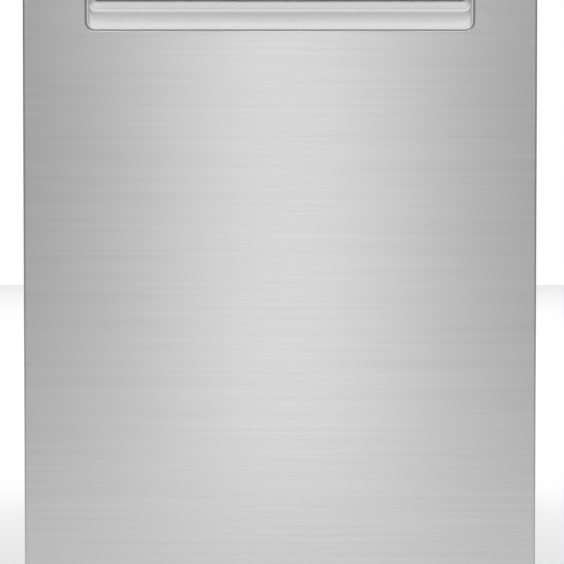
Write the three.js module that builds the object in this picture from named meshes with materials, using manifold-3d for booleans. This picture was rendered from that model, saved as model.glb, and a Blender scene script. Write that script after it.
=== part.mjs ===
// Built-in dishwasher, 24 inch class, with a stainless door and a pocket handle.
// Millimetres, +Z up. The front faces -Y, and the origin is on the floor at the centre of the machine.
// The door is closed, the racks are in, and every adjustable piece is at its stop.
import * as THREE from "three";
import { mergeVertices } from "three/addons/utils/BufferGeometryUtils.js";
import Module from "manifold-3d";

const wasm = await Module();
wasm.setup();

// ---------------------------------------------------------------- driving dimensions
const WIDTH = 606; // across the door
const DEPTH = 622; // door front to rear frame
const HEIGHT = 860; // floor to the worktop brackets
const SHEET = 1; // steel sheet
const GAP = 0.4; // between pieces that meet
const HALF = WIDTH / 2;
const FRONT = -DEPTH / 2;
const REAR = DEPTH / 2;

const DOOR = { bottom: 112, top: 857, back: -264, field: 12 }; // field: how far the liner bulges into the tub
const HINGE = { y: -268, z: 130, pin: 4.6, boss: 9 };
const POCKET = { half: 228.5, bottom: 757, top: 817, corner: 10.5 };
const PADDLE = { half: 53, bottom: 792.5, pivotY: -285, pivotZ: 819.5, pin: 1.8 };
const CONSOLE = { bottom: 828, top: 854, back: -266 };
const TUB = { half: 280, front: -251.6, back: 288, floor: 168, ceiling: 832, corner: 25 };
const FLANGE = { half: 296, bottom: 150, top: 846, front: -253.6 };
const BASE = { half: 298, front: -236, bottom: 30, top: 56, bar: 12 };
const FOOT = { x: 288, front: -221, rear: 294, pad: 15, stem: 5 };
const SPRAY_Y = 20; // the three spray arms turn about one vertical line
const WIRE = 4;
const RACK_HALF = 262;
const LOWER = { front: -215, back: 255, floor: 205, rim: 345, rampStart: -160, rampTop: 255 };
const UPPER = { front: -205, back: 250, floor: 500, rim: 625 };
const LINER_HALF = HALF - SHEET - GAP;
const WHEEL = { x: 235, front: -70, rear: 190, radius: 17, width: 8, bore: 4, axle: 3.4 };
const RAIL = { z: 575, height: 30, front: -215, back: 235 };
const SPRING = { x: 292, z: 112, front: -150, back: 98, radius: 7 };

// ---------------------------------------------------------------- finishes
function finish(color, roughness, metalness) {
  return new THREE.MeshStandardMaterial({ color, roughness, metalness });
}
const brushedSteel = finish(0xc4c4c4, 0.35, 0.9);
const tubSteel = finish(0xbfc2c4, 0.28, 0.9);
const silverPlastic = finish(0xc9c9c9, 0.45, 0.2);
const blackPlastic = finish(0x1c1d1f, 0.4, 0);
const greyPlastic = finish(0x8b9096, 0.55, 0);
const whitePlastic = finish(0xe6e7e6, 0.5, 0);
const rackCoat = finish(0xd6dade, 0.5, 0);
const darkSteel = finish(0x2e3032, 0.5, 0.4);
const zincSteel = finish(0x9fa3a6, 0.4, 0.8);
const rubber = finish(0x4a4d50, 0.8, 0);
const felt = finish(0x6d6f71, 0.95, 0);

// ---------------------------------------------------------------- shape helpers
// A closed mesh as a manifold-3d solid, and back.
function solid(geometry) {
  const bare = geometry.index ? geometry.toNonIndexed() : geometry.clone();
  bare.deleteAttribute("normal");
  bare.deleteAttribute("uv");
  const merged = mergeVertices(bare, 1e-4);
  const triVerts = new Uint32Array(merged.index.array);
  const vertProperties = merged.attributes.position.array;
  return new wasm.Manifold(new wasm.Mesh({ numProp: 3, vertProperties, triVerts }));
}

function geometryOf(body) {
  const mesh = body.getMesh();
  const geometry = new THREE.BufferGeometry();
  geometry.setAttribute("position", new THREE.BufferAttribute(mesh.vertProperties, 3));
  geometry.setIndex(new THREE.BufferAttribute(mesh.triVerts, 1));
  return geometry;
}

function join(...geometries) {
  return geometryOf(geometries.map(solid).reduce((a, b) => a.add(b)));
}

function cut(geometry, ...tools) {
  return geometryOf(tools.map(solid).reduce((a, b) => a.subtract(b), solid(geometry)));
}

function overlap(...geometries) {
  return geometryOf(geometries.map(solid).reduce((a, b) => a.intersect(b)));
}

// A box from its low to its high limit along each axis.
function box(x0, x1, y0, y1, z0, z1) {
  const geometry = new THREE.BoxGeometry(x1 - x0, y1 - y0, z1 - z0);
  return geometry.translate((x0 + x1) / 2, (y0 + y1) / 2, (z0 + z1) / 2);
}

// A box at a distance of x0 to x1 from the centre plane, on the left (side -1) or on the right (side 1).
function sideBox(side, x0, x1, y0, y1, z0, z1) {
  return side < 0 ? box(-x1, -x0, y0, y1, z0, z1) : box(x0, x1, y0, y1, z0, z1);
}

function boxPair(...limits) {
  return [sideBox(-1, ...limits), sideBox(1, ...limits)];
}

// A shape drawn across an axis, extruded along it: (y, z) along x, (x, z) along y and (x, y) along z.
function extrude(axis, shape, from, to, curveSegments = 4) {
  const settings = { depth: to - from, bevelEnabled: false, curveSegments };
  const geometry = new THREE.ExtrudeGeometry(shape, settings);
  const [X, Y, Z] = [[1, 0, 0], [0, 1, 0], [0, 0, 1]].map((v) => new THREE.Vector3(...v));
  const turn = new THREE.Matrix4();
  if (axis === "x") {
    turn.makeBasis(Y, Z, X);
    return geometry.applyMatrix4(turn).translate(from, 0, 0);
  }
  if (axis === "y") {
    turn.makeBasis(X, Z, Y.clone().negate());
    return geometry.applyMatrix4(turn).translate(0, to, 0);
  }
  return geometry.translate(0, 0, from);
}

// A rod along x at a distance of x0 to x1 from the centre plane, on one side.
function sideRod(side, radius, x0, x1, y, z, sides = 12) {
  return side < 0 ? rod("x", radius, -x1, -x0, y, z, sides) : rod("x", radius, x0, x1, y, z, sides);
}

// A round bar along an axis, through the point (a, b) of the two other axes.
function rod(axis, radius, from, to, a, b, sides = 12) {
  const geometry = new THREE.CylinderGeometry(radius, radius, to - from, sides);
  const middle = (from + to) / 2;
  if (axis === "x") return geometry.rotateZ(Math.PI / 2).translate(middle, a, b);
  if (axis === "y") return geometry.translate(a, middle, b);
  return geometry.rotateX(Math.PI / 2).translate(a, b, middle);
}

function polygon(points) {
  return new THREE.Shape(points.map(([u, v]) => new THREE.Vector2(u, v)));
}

function roundedRectangle(u0, u1, v0, v1, radius) {
  const shape = new THREE.Shape();
  shape.moveTo(u0 + radius, v0);
  shape.lineTo(u1 - radius, v0);
  shape.absarc(u1 - radius, v0 + radius, radius, -Math.PI / 2, 0, false);
  shape.lineTo(u1, v1 - radius);
  shape.absarc(u1 - radius, v1 - radius, radius, 0, Math.PI / 2, false);
  shape.lineTo(u0 + radius, v1);
  shape.absarc(u0 + radius, v1 - radius, radius, Math.PI / 2, Math.PI, false);
  shape.lineTo(u0, v0 + radius);
  shape.absarc(u0 + radius, v0 + radius, radius, Math.PI, Math.PI * 1.5, false);
  return shape;
}

// A solid of revolution about +Z from a profile of [radius, z] points listed upwards on its outside.
function turned(profile, sides) {
  const points = profile.map(([r, z]) => new THREE.Vector2(r, z));
  return new THREE.LatheGeometry(points, sides).rotateX(Math.PI / 2);
}

// The outline of a bent wire of square section along a line of points, with mitred bends.
function wireShape(points) {
  const at = points.map(([u, v]) => new THREE.Vector2(u, v));
  const side = [];
  for (let i = 0; i < at.length; i += 1) {
    const before = at[Math.max(i - 1, 0)];
    const after = at[Math.min(i + 1, at.length - 1)];
    const into = at[i].clone().sub(before).normalize();
    const out = after.clone().sub(at[i]).normalize();
    if (i === 0) into.copy(out);
    if (i === at.length - 1) out.copy(into);
    const bisector = new THREE.Vector2(-into.y - out.y, into.x + out.x).normalize();
    const reach = WIRE / 2 / bisector.dot(new THREE.Vector2(-into.y, into.x));
    side.push(bisector.multiplyScalar(reach));
  }
  const left = at.map((p, i) => p.clone().add(side[i]));
  const right = at.map((p, i) => p.clone().sub(side[i]));
  return new THREE.Shape([...right, ...left.reverse()]);
}

// Evenly spaced places from the first to the last.
function spaced(first, last, count) {
  return Array.from({ length: count }, (_, i) => first + ((last - first) * i) / (count - 1));
}

// ---------------------------------------------------------------- scene graph
const dishwasher = new THREE.Group();
const cabinet = new THREE.Group();
const door = new THREE.Group();
const upperRack = new THREE.Group();
const lowerRack = new THREE.Group();
dishwasher.add(cabinet, door, upperRack, lowerRack);

function place(group, name, geometry, material, x = 0, y = 0, z = 0) {
  const mesh = new THREE.Mesh(geometry, material);
  mesh.name = name;
  mesh.position.set(x, y, z);
  group.add(mesh);
  return mesh;
}

const SIDES = [
  ["left", -1],
  ["right", 1],
];

// ---------------------------------------------------------------- cabinet: tub and frame
// A deep-drawn tub: a rounded box open at the front, with a flange round its mouth and a sump hole in its floor.
function tub() {
  const { half, front, back, floor, ceiling, corner } = TUB;
  const outside = roundedRectangle(-half - SHEET, half + SHEET, floor - SHEET, ceiling + SHEET, corner + SHEET);
  const inside = roundedRectangle(-half, half, floor, ceiling, corner);
  const flange = box(-FLANGE.half, FLANGE.half, FLANGE.front, front, FLANGE.bottom, FLANGE.top);
  const shell = join(extrude("y", outside, front - 1, back + SHEET), flange);
  const sumpHole = rod("z", 101, floor - 10, floor + 10, 0, SPRAY_Y, 32);
  return cut(shell, extrude("y", inside, FLANGE.front - 1, back), sumpHole);
}

// A rubber loop between the tub's flange and the door liner.
function tubGasket() {
  const lip = 10;
  const edge = 1;
  const { half, floor, ceiling } = TUB;
  const [low, high] = [floor - edge, ceiling + edge];
  const outer = roundedRectangle(-half - edge - lip, half + edge + lip, low - lip, high + lip, 12);
  outer.holes.push(roundedRectangle(-half - edge, half + edge, low, high, 4));
  return extrude("y", outer, DOOR.back + GAP, FLANGE.front - GAP, 3);
}

// A ring of flat bar with a threaded boss over each foot, four posts under the tub and two spring anchors.
function baseFrame() {
  const { half, front, bottom, top, bar } = BASE;
  const ring = roundedRectangle(-half, half, front, REAR, 6);
  ring.holes.push(roundedRectangle(-half + bar, half - bar, front + bar, REAR - bar, 3));
  const bosses = [];
  const bores = [];
  for (const [, s] of SIDES) {
    for (const y of [FOOT.front, FOOT.rear]) {
      const x = s * FOOT.x;
      bosses.push(box(x - 9, x + 9, y - 11, y + 11, bottom + 4, top - 1));
      bores.push(rod("z", FOOT.stem + 0.6, bottom - 1, top - 2, x, y, 12));
    }
    for (const y of [front + 16, 262]) {
      const x = s * (TUB.half - 8);
      bosses.push(box(x - 8, x + 8, y - 10, y + 10, bottom, TUB.floor - SHEET - GAP));
      bosses.push(sideBox(s, TUB.half - 4, half - bar + 4, y - 10, y + 10, bottom, top));
    }
    const anchor = s * SPRING.x;
    bosses.push(box(anchor - 3, anchor + 3, SPRING.back + GAP, SPRING.back + 10, top - 1, SPRING.z + 8));
  }
  return cut(join(extrude("z", ring, bottom, top, 2), ...bosses), ...bores);
}

// A quilted felt blanket over the top and both sides of the tub, with a notch at the door catch.
function insulationBlanket() {
  const thick = 11.5;
  const near = 2.5;
  const { half, ceiling } = TUB;
  const [inner, outer] = [half + near, half + near + thick];
  const [under, over] = [ceiling + near + 0.5, ceiling + near + 0.5 + thick];
  const section = polygon([
    [-outer, 175], [-inner, 175], [-inner, under], [inner, under], [inner, 175],
    [outer, 175], [outer, over - 8], [outer - 8, over], [8 - outer, over], [-outer, over - 8],
  ]);
  return cut(extrude("y", section, -245, 285), box(-40, 40, -250, -214, under - 1, over + 1));
}

function toeKick() {
  const y = -241;
  const panel = box(-299, 299, y, y + 1.2, 6, 100);
  const topFold = box(-299, 299, y, y + 4, 98.8, 100);
  const ends = boxPair(297.8, 299, y, y + 4, 6, 100);
  return join(panel, topFold, ...ends);
}

// A bracket on the base whose eye carries the door's pivot pin on one side.
function hingeBracket(side) {
  const [near, far] = [286.5, 289.5];
  const [back, foot, head] = [-206, BASE.top + GAP, FLANGE.bottom - 0.5];
  const eye = sideRod(side, HINGE.boss, near, far, HINGE.y, HINGE.z, 20);
  const strap = sideBox(side, near, far, HINGE.y, back, HINGE.z, head);
  const leg = sideBox(side, near, far, -234, back, foot, head);
  const footPlate = sideBox(side, near, 296, -234, back, foot, foot + 2.6);
  const hole = sideRod(side, HINGE.pin + 0.5, near - 1, far + 1, HINGE.y, HINGE.z, 16);
  return cut(join(eye, strap, leg, footPlate), hole);
}

// A plastic bowl under the sump hole with a tower for the lower spray arm and stubs for both pumps.
function sump() {
  const rimZ = TUB.floor - SHEET - GAP;
  const ledge = 159.6;
  const profile = [
    [0, 90], [94, 90], [112, 150], [118, 158], [118, rimZ], [99, rimZ], [99, ledge], [93, ledge], [88, 94], [0, 94],
  ];
  const bowl = turned(profile, 32).translate(0, SPRAY_Y, 0);
  const tower = rod("z", 12, 93, 184, 0, SPRAY_Y, 12);
  const stub = rod("x", 16, -119.6, -90, SPRAY_Y, 112, 12);
  const drainStub = rod("x", 13, 90, 119.6, SPRAY_Y, 110, 12);
  return join(bowl, tower, stub, drainStub);
}

// The wash pump: a volute against the sump, a motor can behind it and a delivery neck.
function circulationPump() {
  const [y, z] = [SPRAY_Y, 112];
  const volute = rod("x", 46, -154, -120, y, z, 24);
  const can = rod("x", 38, -236, -154, y, z, 20);
  const cap = rod("x", 14, -244, -236, y, z, 12);
  const neck = rod("z", 12, z, 163, -137, y + 31, 12);
  return join(volute, can, cap, neck);
}

// The drain pump: a round chamber, a square stator and a spigot for the drain hose.
function drainPump() {
  const [y, z] = [SPRAY_Y, 110];
  const chamber = rod("x", 30, 120, 154, y, z, 20);
  const stator = box(154, 196, y - 26, y + 26, z - 24, z + 24);
  const spigot = rod("y", 11, y, 70, 137, z + 14, 12);
  const bore = rod("y", 8, y + 34, 71, 137, z + 14, 12);
  return cut(join(chamber, stator, spigot), bore);
}

// A solenoid valve on a bent foot: brass inlet elbow below, coil on top.
function inletValve() {
  const [x, y, rest] = [-225, -184, BASE.top + GAP];
  const foot = box(x - 16, x + 16, -232, y - 20, rest, rest + 2);
  const riser = box(x - 16, x + 16, y - 22, y - 20, rest, 100);
  const body = box(x - 16, x + 16, y - 21, y + 22, 84, 108);
  const coil = box(x - 14, x + 14, y - 14, y + 14, 107, 142);
  const plunger = rod("z", 6, 141, 149, x, y, 10);
  const inlet = rod("z", 12, 63, 85, x, y, 16);
  const bore = rod("z", 8, 62, 80, x, y, 12);
  const outlet = rod("y", 7, y + 21, y + 44, x, 96, 10);
  return cut(join(foot, riser, body, coil, plunger, inlet, outlet), bore);
}

// A folded steel box with a removable front, where the mains wires are joined, and a cable knock-out.
function junctionBox() {
  const [low, high] = [BASE.top + GAP, 106];
  const outside = box(197, 257, -230, -166, low, high);
  const hollow = box(198.5, 255.5, -228.5, -167.5, low + 1.5, high - 1.5);
  const knockout = rod("y", 11, -170, -160, 227, 82, 16);
  return cut(outside, hollow, knockout);
}

// A perforated plate over the bowl, with holes for the tower and the coarse filter.
function fineFilter() {
  const profile = [
    [14, 160], [96, 160], [96, 162.5], [14, 162.5], [14, 160],
  ];
  const plate = turned(profile, 32).translate(0, SPRAY_Y, 0);
  return cut(plate, rod("z", 36, 150, 170, 0, SPRAY_Y - 54, 24));
}

// The coarse filter cup, built about its own axis; it twists to lock.
function coarseFilter() {
  const profile = [[0, 100], [28, 100], [31, 162.9], [39, 162.9], [39, 166], [28, 166], [25, 104], [0, 104]];
  const cup = turned(profile, 20);
  const grip = box(-29, 29, -3, 3, 160, 176);
  const cross = box(-3, 3, -29, 29, 156, 166);
  return join(cup, grip, cross);
}

// The duct that brings water up the tub's back wall to the two upper spray arms.
function sprayFeedTube() {
  const wall = TUB.back - GAP;
  const riser = box(-18, 18, wall - 16, wall, TUB.floor + GAP, 824);
  const floorRun = box(-18, 18, 134, wall, TUB.floor + GAP, 182);
  const ceilingRun = box(-14, 14, SPRAY_Y - 16, wall, 808, 824);
  const dock = rod("y", 10, UPPER.back + GAP, wall - 8, 0, 491, 12);
  const topSeat = rod("z", 10, 803, 809, 0, SPRAY_Y, 12);
  return join(riser, floorRun, ceilingRun, dock, topSeat);
}

// A channel on the tub wall that carries the telescopic member of one upper-rack slide.
function outerRail(side) {
  const [low, high] = [RAIL.z - RAIL.height / 2, RAIL.z + RAIL.height / 2];
  const [mouth, web] = [272, TUB.half - GAP];
  const channel = sideBox(side, mouth, web, RAIL.front, RAIL.back, low, high);
  const groove = sideBox(side, mouth - 1, web - 2, RAIL.front - 1, RAIL.back - 3, low + 4, high - 4);
  return cut(channel, groove);
}

// The telescopic member between the tub's rail and the rack's rail.
function middleRail(side) {
  const [low, high] = [RAIL.z - RAIL.height / 2 + 4.5, RAIL.z + RAIL.height / 2 - 4.5];
  const bar = sideBox(side, 267.5, 277.2, RAIL.front + 5, RAIL.back - 5, low, high);
  const groove = sideBox(side, 266, 275.2, RAIL.front, RAIL.back - 8, low + 3, high - 3);
  return cut(bar, groove);
}

// The catch on top of the tub that the door's hook drops over.
function strikePlate() {
  const base = box(-22, 22, -249, -222, TUB.ceiling + SHEET + GAP, 836);
  const cheeks = boxPair(12, 14, -249, -222, 835, 853);
  const bar = rod("x", 2.2, -13, 13, -236, 843.4, 10);
  return join(base, ...cheeks, bar);
}

// A bent strap that is screwed up into the worktop.
function counterBracket(side) {
  const back = TUB.front + GAP;
  const tab = sideBox(side, 205, 235, -262, -232, HEIGHT - 1.5, HEIGHT);
  const leg = sideBox(side, 205, 235, back, back + 1.5, 835.5, HEIGHT - 1);
  const hole = rod("z", 2.5, HEIGHT - 3, HEIGHT + 1, side * 220, -240, 12);
  return cut(join(tab, leg), hole);
}

// A door balance spring, drawn as the cylinder that its coils fill.
function doorSpring(side) {
  return rod("y", SPRING.radius, SPRING.front, SPRING.back, side * SPRING.x, SPRING.z, 12);
}

// The strap that ties the spring to the hinge; it slides forward as the door opens.
function springLink(side) {
  const x = side * SPRING.x;
  const strap = box(x - 1.2, x + 1.2, -195, SPRING.front - GAP, SPRING.z - 5, SPRING.z + 5);
  const eye = rod("x", 8, x - 1.2, x + 1.2, -190, SPRING.z, 14);
  const hole = rod("x", 3, x - 3, x + 3, -190, SPRING.z, 10);
  return cut(join(strap, eye), hole);
}

// A spray arm about its own hub: a flat tapered blade on both sides of a round hub that has a seat below.
function sprayArm(radius, thick, hub) {
  const blade = new THREE.Shape();
  const [root, tip] = [24, 15];
  blade.moveTo(-radius + tip, -tip);
  blade.lineTo(0, -root);
  blade.lineTo(radius - tip, -tip);
  blade.absarc(radius - tip, 0, tip, -Math.PI / 2, Math.PI / 2, false);
  blade.lineTo(0, root);
  blade.lineTo(-radius + tip, tip);
  blade.absarc(-radius + tip, 0, tip, Math.PI / 2, Math.PI * 1.5, false);
  const boss = rod("z", hub, -1, thick + 2, 0, 0, 16);
  return join(extrude("z", blade, 0, thick, 5), boss);
}

// A dome that rises with the water and stops the filling.
function float() {
  return turned([[0, 0], [16, 0], [19, 3], [19, 11], [14, 16], [0, 18]], 16);
}

// A screw foot: round pad, hexagon and stem, about its own axis.
function foot() {
  const pad = turned([[0, 0], [FOOT.pad, 0], [FOOT.pad, 3], [9, 6], [0, 6]], 16);
  const hexagon = rod("z", 8, 5, 12, 0, 0, 6);
  return join(pad, hexagon, rod("z", FOOT.stem, 11, 50, 0, 0, 12));
}

place(cabinet, "tub", tub(), tubSteel);
place(cabinet, "tub_gasket", tubGasket(), rubber);
place(cabinet, "base_frame", baseFrame(), darkSteel);
place(cabinet, "insulation_blanket", insulationBlanket(), felt);
place(cabinet, "toe_kick", toeKick(), darkSteel);
place(cabinet, "sump", sump(), greyPlastic);
place(cabinet, "circulation_pump", circulationPump(), greyPlastic);
place(cabinet, "drain_pump", drainPump(), blackPlastic);
place(cabinet, "inlet_valve", inletValve(), whitePlastic);
place(cabinet, "junction_box", junctionBox(), zincSteel);
place(cabinet, "fine_filter", fineFilter(), tubSteel);
place(cabinet, "coarse_filter", coarseFilter(), greyPlastic, 0, SPRAY_Y - 54, 0);
place(cabinet, "spray_feed_tube", sprayFeedTube(), greyPlastic);
place(cabinet, "strike_plate", strikePlate(), zincSteel);
place(cabinet, "lower_spray_arm", sprayArm(202, 9, 20), greyPlastic, 0, SPRAY_Y, 186);
place(cabinet, "top_spray_arm", sprayArm(130, 7, 16), greyPlastic, 0, SPRAY_Y, 792);
place(cabinet, "float", float(), whitePlastic, -200, -200, TUB.floor + GAP);
for (const [word, s] of SIDES) {
  place(cabinet, `hinge_bracket_${word}`, hingeBracket(s), zincSteel);
  place(cabinet, `outer_rail_${word}`, outerRail(s), tubSteel);
  place(cabinet, `middle_rail_${word}`, middleRail(s), zincSteel);
  place(cabinet, `counter_bracket_${word}`, counterBracket(s), zincSteel);
  place(cabinet, `door_spring_${word}`, doorSpring(s), zincSteel);
  place(cabinet, `spring_link_${word}`, springLink(s), zincSteel);
  place(cabinet, `foot_front_${word}`, foot(), blackPlastic, s * FOOT.x, FOOT.front, 0);
  place(cabinet, `foot_rear_${word}`, foot(), blackPlastic, s * FOOT.x, FOOT.rear, 0);
}

// ---------------------------------------------------------------- door
const LINER_FRONT = DOOR.back - SHEET;

// The outer panel: a shallow steel tray with the handle's opening cut into its face.
function doorSkin() {
  const tray = box(-HALF, HALF, FRONT, -271, DOOR.bottom, DOOR.top);
  const hollow = box(-HALF + SHEET, HALF - SHEET, FRONT + SHEET, -270, DOOR.bottom + SHEET, DOOR.top - SHEET);
  const topOpening = box(-HALF + SHEET, HALF - SHEET, FRONT + 8, -270, DOOR.top - 5, DOOR.top + 1);
  const { half, bottom, top, corner } = POCKET;
  const opening = extrude("y", roundedRectangle(-half, half, bottom, top, corner), FRONT - 1, FRONT + 5, 5);
  return cut(tray, hollow, topOpening, opening);
}

// The moulded handle recess: a cove that rises to a ledge, a back wall and a hollow for the fingers behind the top lip.
function pocketHandle() {
  const { half, bottom, top, corner } = POCKET;
  const [rim, lipY] = [1.2, FRONT + SHEET + GAP];
  const [low, high] = [bottom + rim, top - rim];
  const moulding = join(
    box(-half - 8, half + 8, lipY, lipY + 2, bottom - 8, top + 8),
    box(-half - 2, half + 2, lipY, -272.5, bottom - 3, top + 9),
  );
  const spigot = roundedRectangle(-half + 0.4, half - 0.4, bottom + 0.4, top - 0.4, corner);
  const face = extrude("y", spigot, FRONT + GAP, lipY + 1, 5);
  const mouth = extrude("y", roundedRectangle(-half + rim, half - rim, low, high, corner - rim), FRONT - 1, -280, 5);
  const section = new THREE.Shape();
  section.moveTo(FRONT - 2, low);
  section.lineTo(FRONT + 3, low + 0.5);
  section.absellipse(FRONT + 3, low + 20.5, 16, 20, -Math.PI / 2, 0, false);
  section.lineTo(FRONT + 20, 783.5);
  section.lineTo(-282.4, 791.6);
  section.lineTo(-282.4, high + 1);
  section.lineTo(FRONT - 2, high + 1);
  const cove = extrude("x", section, -half, half, 5);
  const draft = polygon([
    [-half, FRONT - 2], [half, FRONT - 2], [half - 11, -278], [11 - half, -278],
  ]);
  const ends = extrude("z", draft, low - 5, high + 5);
  const fingers = box(-half + 14, half - 14, -304, -282.4, high - 4, top + 6);
  const recess = cut(join(moulding, face), overlap(mouth, cove, ends), fingers);
  const { pivotY, pivotZ } = PADDLE;
  const lugs = boxPair(PADDLE.half + 1, PADDLE.half + 4, pivotY - 4, -281, pivotZ - 4, top + 7);
  const bearing = rod("x", PADDLE.pin + 0.5, -PADDLE.half - 6, PADDLE.half + 6, pivotY, pivotZ, 10);
  return cut(join(recess, ...lugs), bearing);
}

// The steel liner: a flat margin against the gasket, a raised field, side folds and a hole for the dispenser.
function innerDoor() {
  const margin = box(-LINER_HALF, LINER_HALF, LINER_FRONT, DOOR.back, 118, 846.5);
  const folds = boxPair(LINER_HALF - SHEET, LINER_HALF, -300, DOOR.back, 152, CONSOLE.bottom - GAP);
  const field = box(-262, 262, LINER_FRONT, DOOR.back + DOOR.field, 178, 822);
  const inner = 262 - SHEET;
  const [near, far] = [LINER_FRONT - 1, DOOR.back + DOOR.field - SHEET];
  const hollow = box(-inner, inner, near, far, 178 + SHEET, 822 - SHEET);
  const notches = boxPair(284, 310, -310, -240, 100, 152);
  const dispenserHole = box(-86, 86, -270, -240, 509, 631);
  return cut(join(margin, ...folds, field), hollow, ...notches, dispenserHole);
}

const BUTTONS = [
  ["power_button", -190],
  ["cycle_button", -120],
  ["options_button", -80],
  ["delay_button", -40],
  ["start_button", 190],
];
const BUTTON = { half: 10, depth: 5, y: -290, low: 849.8, high: 855.4 };

// The control housing along the door's top, with a well for each button and a slot for the hook.
function controlConsole() {
  const { bottom, top, back } = CONSOLE;
  const block = box(-LINER_HALF, LINER_HALF, FRONT + SHEET + GAP, back, bottom, top);
  const hollow = box(-296, 296, FRONT + 4, back - 3, bottom - 1, 843);
  const wells = BUTTONS.map(([, x]) =>
    box(x - BUTTON.half - 0.4, x + BUTTON.half + 0.4, BUTTON.y - 5.4, BUTTON.y + 5.4, 848, top + 1));
  const slot = box(-14, 14, -294, -260, 842.5, top + 1);
  const window = box(30, 130, -298, -282, top - 1, top + 1);
  return cut(block, hollow, ...wells, slot, window);
}

function button() {
  const { half, depth, low, high } = BUTTON;
  return extrude("z", roundedRectangle(-half, half, -depth, depth, 2), 0, high - low, 2);
}

// The release paddle inside the pocket, about its pivot at the top.
function latchPaddle() {
  const { half, bottom, pivotZ } = PADDLE;
  const plate = box(-half, half, -1.5, 1.5, bottom - pivotZ, 0);
  const roll = rod("x", PADDLE.pin, -half - 4, half + 4, 0, 0, 10);
  return join(plate, roll);
}

// The hook over the tub's catch, about its pivot in the console.
function latchHook() {
  const arm = box(-6, 6, 0, 53, -1, 2.4);
  const nose = box(-6, 6, 50, 53, -2.2, 0);
  const barrel = rod("x", 3, -11, 11, 0, 0, 12);
  return join(arm, nose, barrel);
}

// The detergent dispenser: a flange on the liner, a body behind it, a cup and a rinse-aid seat.
function dispenserBody() {
  const face = DOOR.back + DOOR.field;
  const plate = box(-95, 95, face + GAP, face + 5, 500, 640);
  const rear = box(-84, 84, -284, face + 1, 511, 629);
  const cup = box(-66, -4, -274, face + 6, 526, 588);
  const seat = rod("y", 20, face - 6, face + 6, 48, 570, 24);
  return cut(join(plate, rear), cup, seat);
}

function dispenserLid() {
  const y = DOOR.back + DOOR.field + 5 + GAP;
  const lid = box(-71, 1, y, y + 3, 520, 594);
  const ridge = box(-50, -20, y + 2.5, y + 6, 524, 530);
  return join(lid, ridge);
}

// The rinse-aid cap, about its own axis along the door's thickness.
function rinseCap() {
  const disc = rod("y", 19, -4, 6, 0, 0, 24);
  const grip = box(-16, 16, 5, 11, -3, 3);
  return join(disc, grip);
}

// A plate in the door's side with the pivot pin at its foot.
function hingeArm(side) {
  const [near, far] = [291, 293.5];
  const plate = sideBox(side, near, far, -296, -271, 124, 330);
  const boss = sideRod(side, HINGE.boss, near, far, HINGE.y, HINGE.z, 20);
  const pin = sideRod(side, HINGE.pin, 285.2, far, HINGE.y, HINGE.z, 16);
  return join(plate, boss, pin);
}

place(door, "door_skin", doorSkin(), brushedSteel);
place(door, "pocket_handle", pocketHandle(), silverPlastic);
place(door, "inner_door", innerDoor(), tubSteel);
place(door, "control_console", controlConsole(), blackPlastic);
for (const [name, x] of BUTTONS) place(door, name, button(), silverPlastic, x, BUTTON.y, BUTTON.low);
place(door, "latch_paddle", latchPaddle(), silverPlastic, 0, PADDLE.pivotY, PADDLE.pivotZ);
place(door, "latch_hook", latchHook(), zincSteel, 0, -284, 849);
place(door, "dispenser_body", dispenserBody(), greyPlastic);
place(door, "dispenser_lid", dispenserLid(), greyPlastic);
place(door, "rinse_aid_cap", rinseCap(), greyPlastic, 48, DOOR.back + DOOR.field + 1, 570);
for (const [word, s] of SIDES) place(door, `hinge_arm_${word}`, hingeArm(s), zincSteel);

// ---------------------------------------------------------------- racks
// An open basket of crossing wires. Lengthwise wires follow a profile of [y, z] points; cross wires are square U shapes.
function wireBasket(profile, crossYs, lengthXs, rimZs) {
  const ys = profile.map(([y]) => y);
  const [front, back] = [Math.min(...ys), Math.max(...ys)];
  const top = Math.max(...rimZs);
  const floor = Math.min(...profile.map(([, z]) => z));
  const side = RACK_HALF - WIRE / 2;
  const wires = lengthXs.map((x) => extrude("x", wireShape(profile), x - WIRE / 2, x + WIRE / 2));
  const across = [[-side, top], [-side, floor], [side, floor], [side, top]];
  for (const y of crossYs) wires.push(extrude("y", wireShape(across), y - WIRE / 2, y + WIRE / 2));
  for (const z of rimZs) {
    const loop = roundedRectangle(-RACK_HALF, RACK_HALF, front - WIRE / 2, back + WIRE / 2, 14);
    loop.holes.push(roundedRectangle(WIRE - RACK_HALF, RACK_HALF - WIRE, front + WIRE / 2, back - WIRE / 2, 10));
    wires.push(extrude("z", loop, z - WIRE / 2, z + WIRE / 2, 2));
  }
  return wires;
}

// A row of upright tines on a rod that runs lengthwise.
function tineRow(x, floor, height, ys, thick = WIRE) {
  const row = [box(x - thick / 2, x + thick / 2, ys[0] - 6, ys.at(-1) + 6, floor - thick / 2, floor + thick / 2)];
  for (const y of ys) row.push(box(x - thick / 2, x + thick / 2, y - thick / 2, y + thick / 2, floor, floor + height));
  return row;
}

function upperBasket() {
  const { front, back, floor, rim } = UPPER;
  const [near, far] = [front + WIRE / 2, back - WIRE / 2];
  const profile = [[near, rim], [near, floor], [far, floor], [far, rim]];
  const wires = wireBasket(profile, spaced(-140, 190, 5), spaced(-210, 210, 5), [rim, RAIL.z]);
  const rails = boxPair(RACK_HALF - WIRE, 274.4, near, 225, RAIL.z - 6.8, RAIL.z + 6.8);
  const tines = [-60, 60].flatMap((x) => tineRow(x, floor, 55, spaced(-140, 190, 5)));
  return join(...wires, ...rails, ...tines);
}

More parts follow.
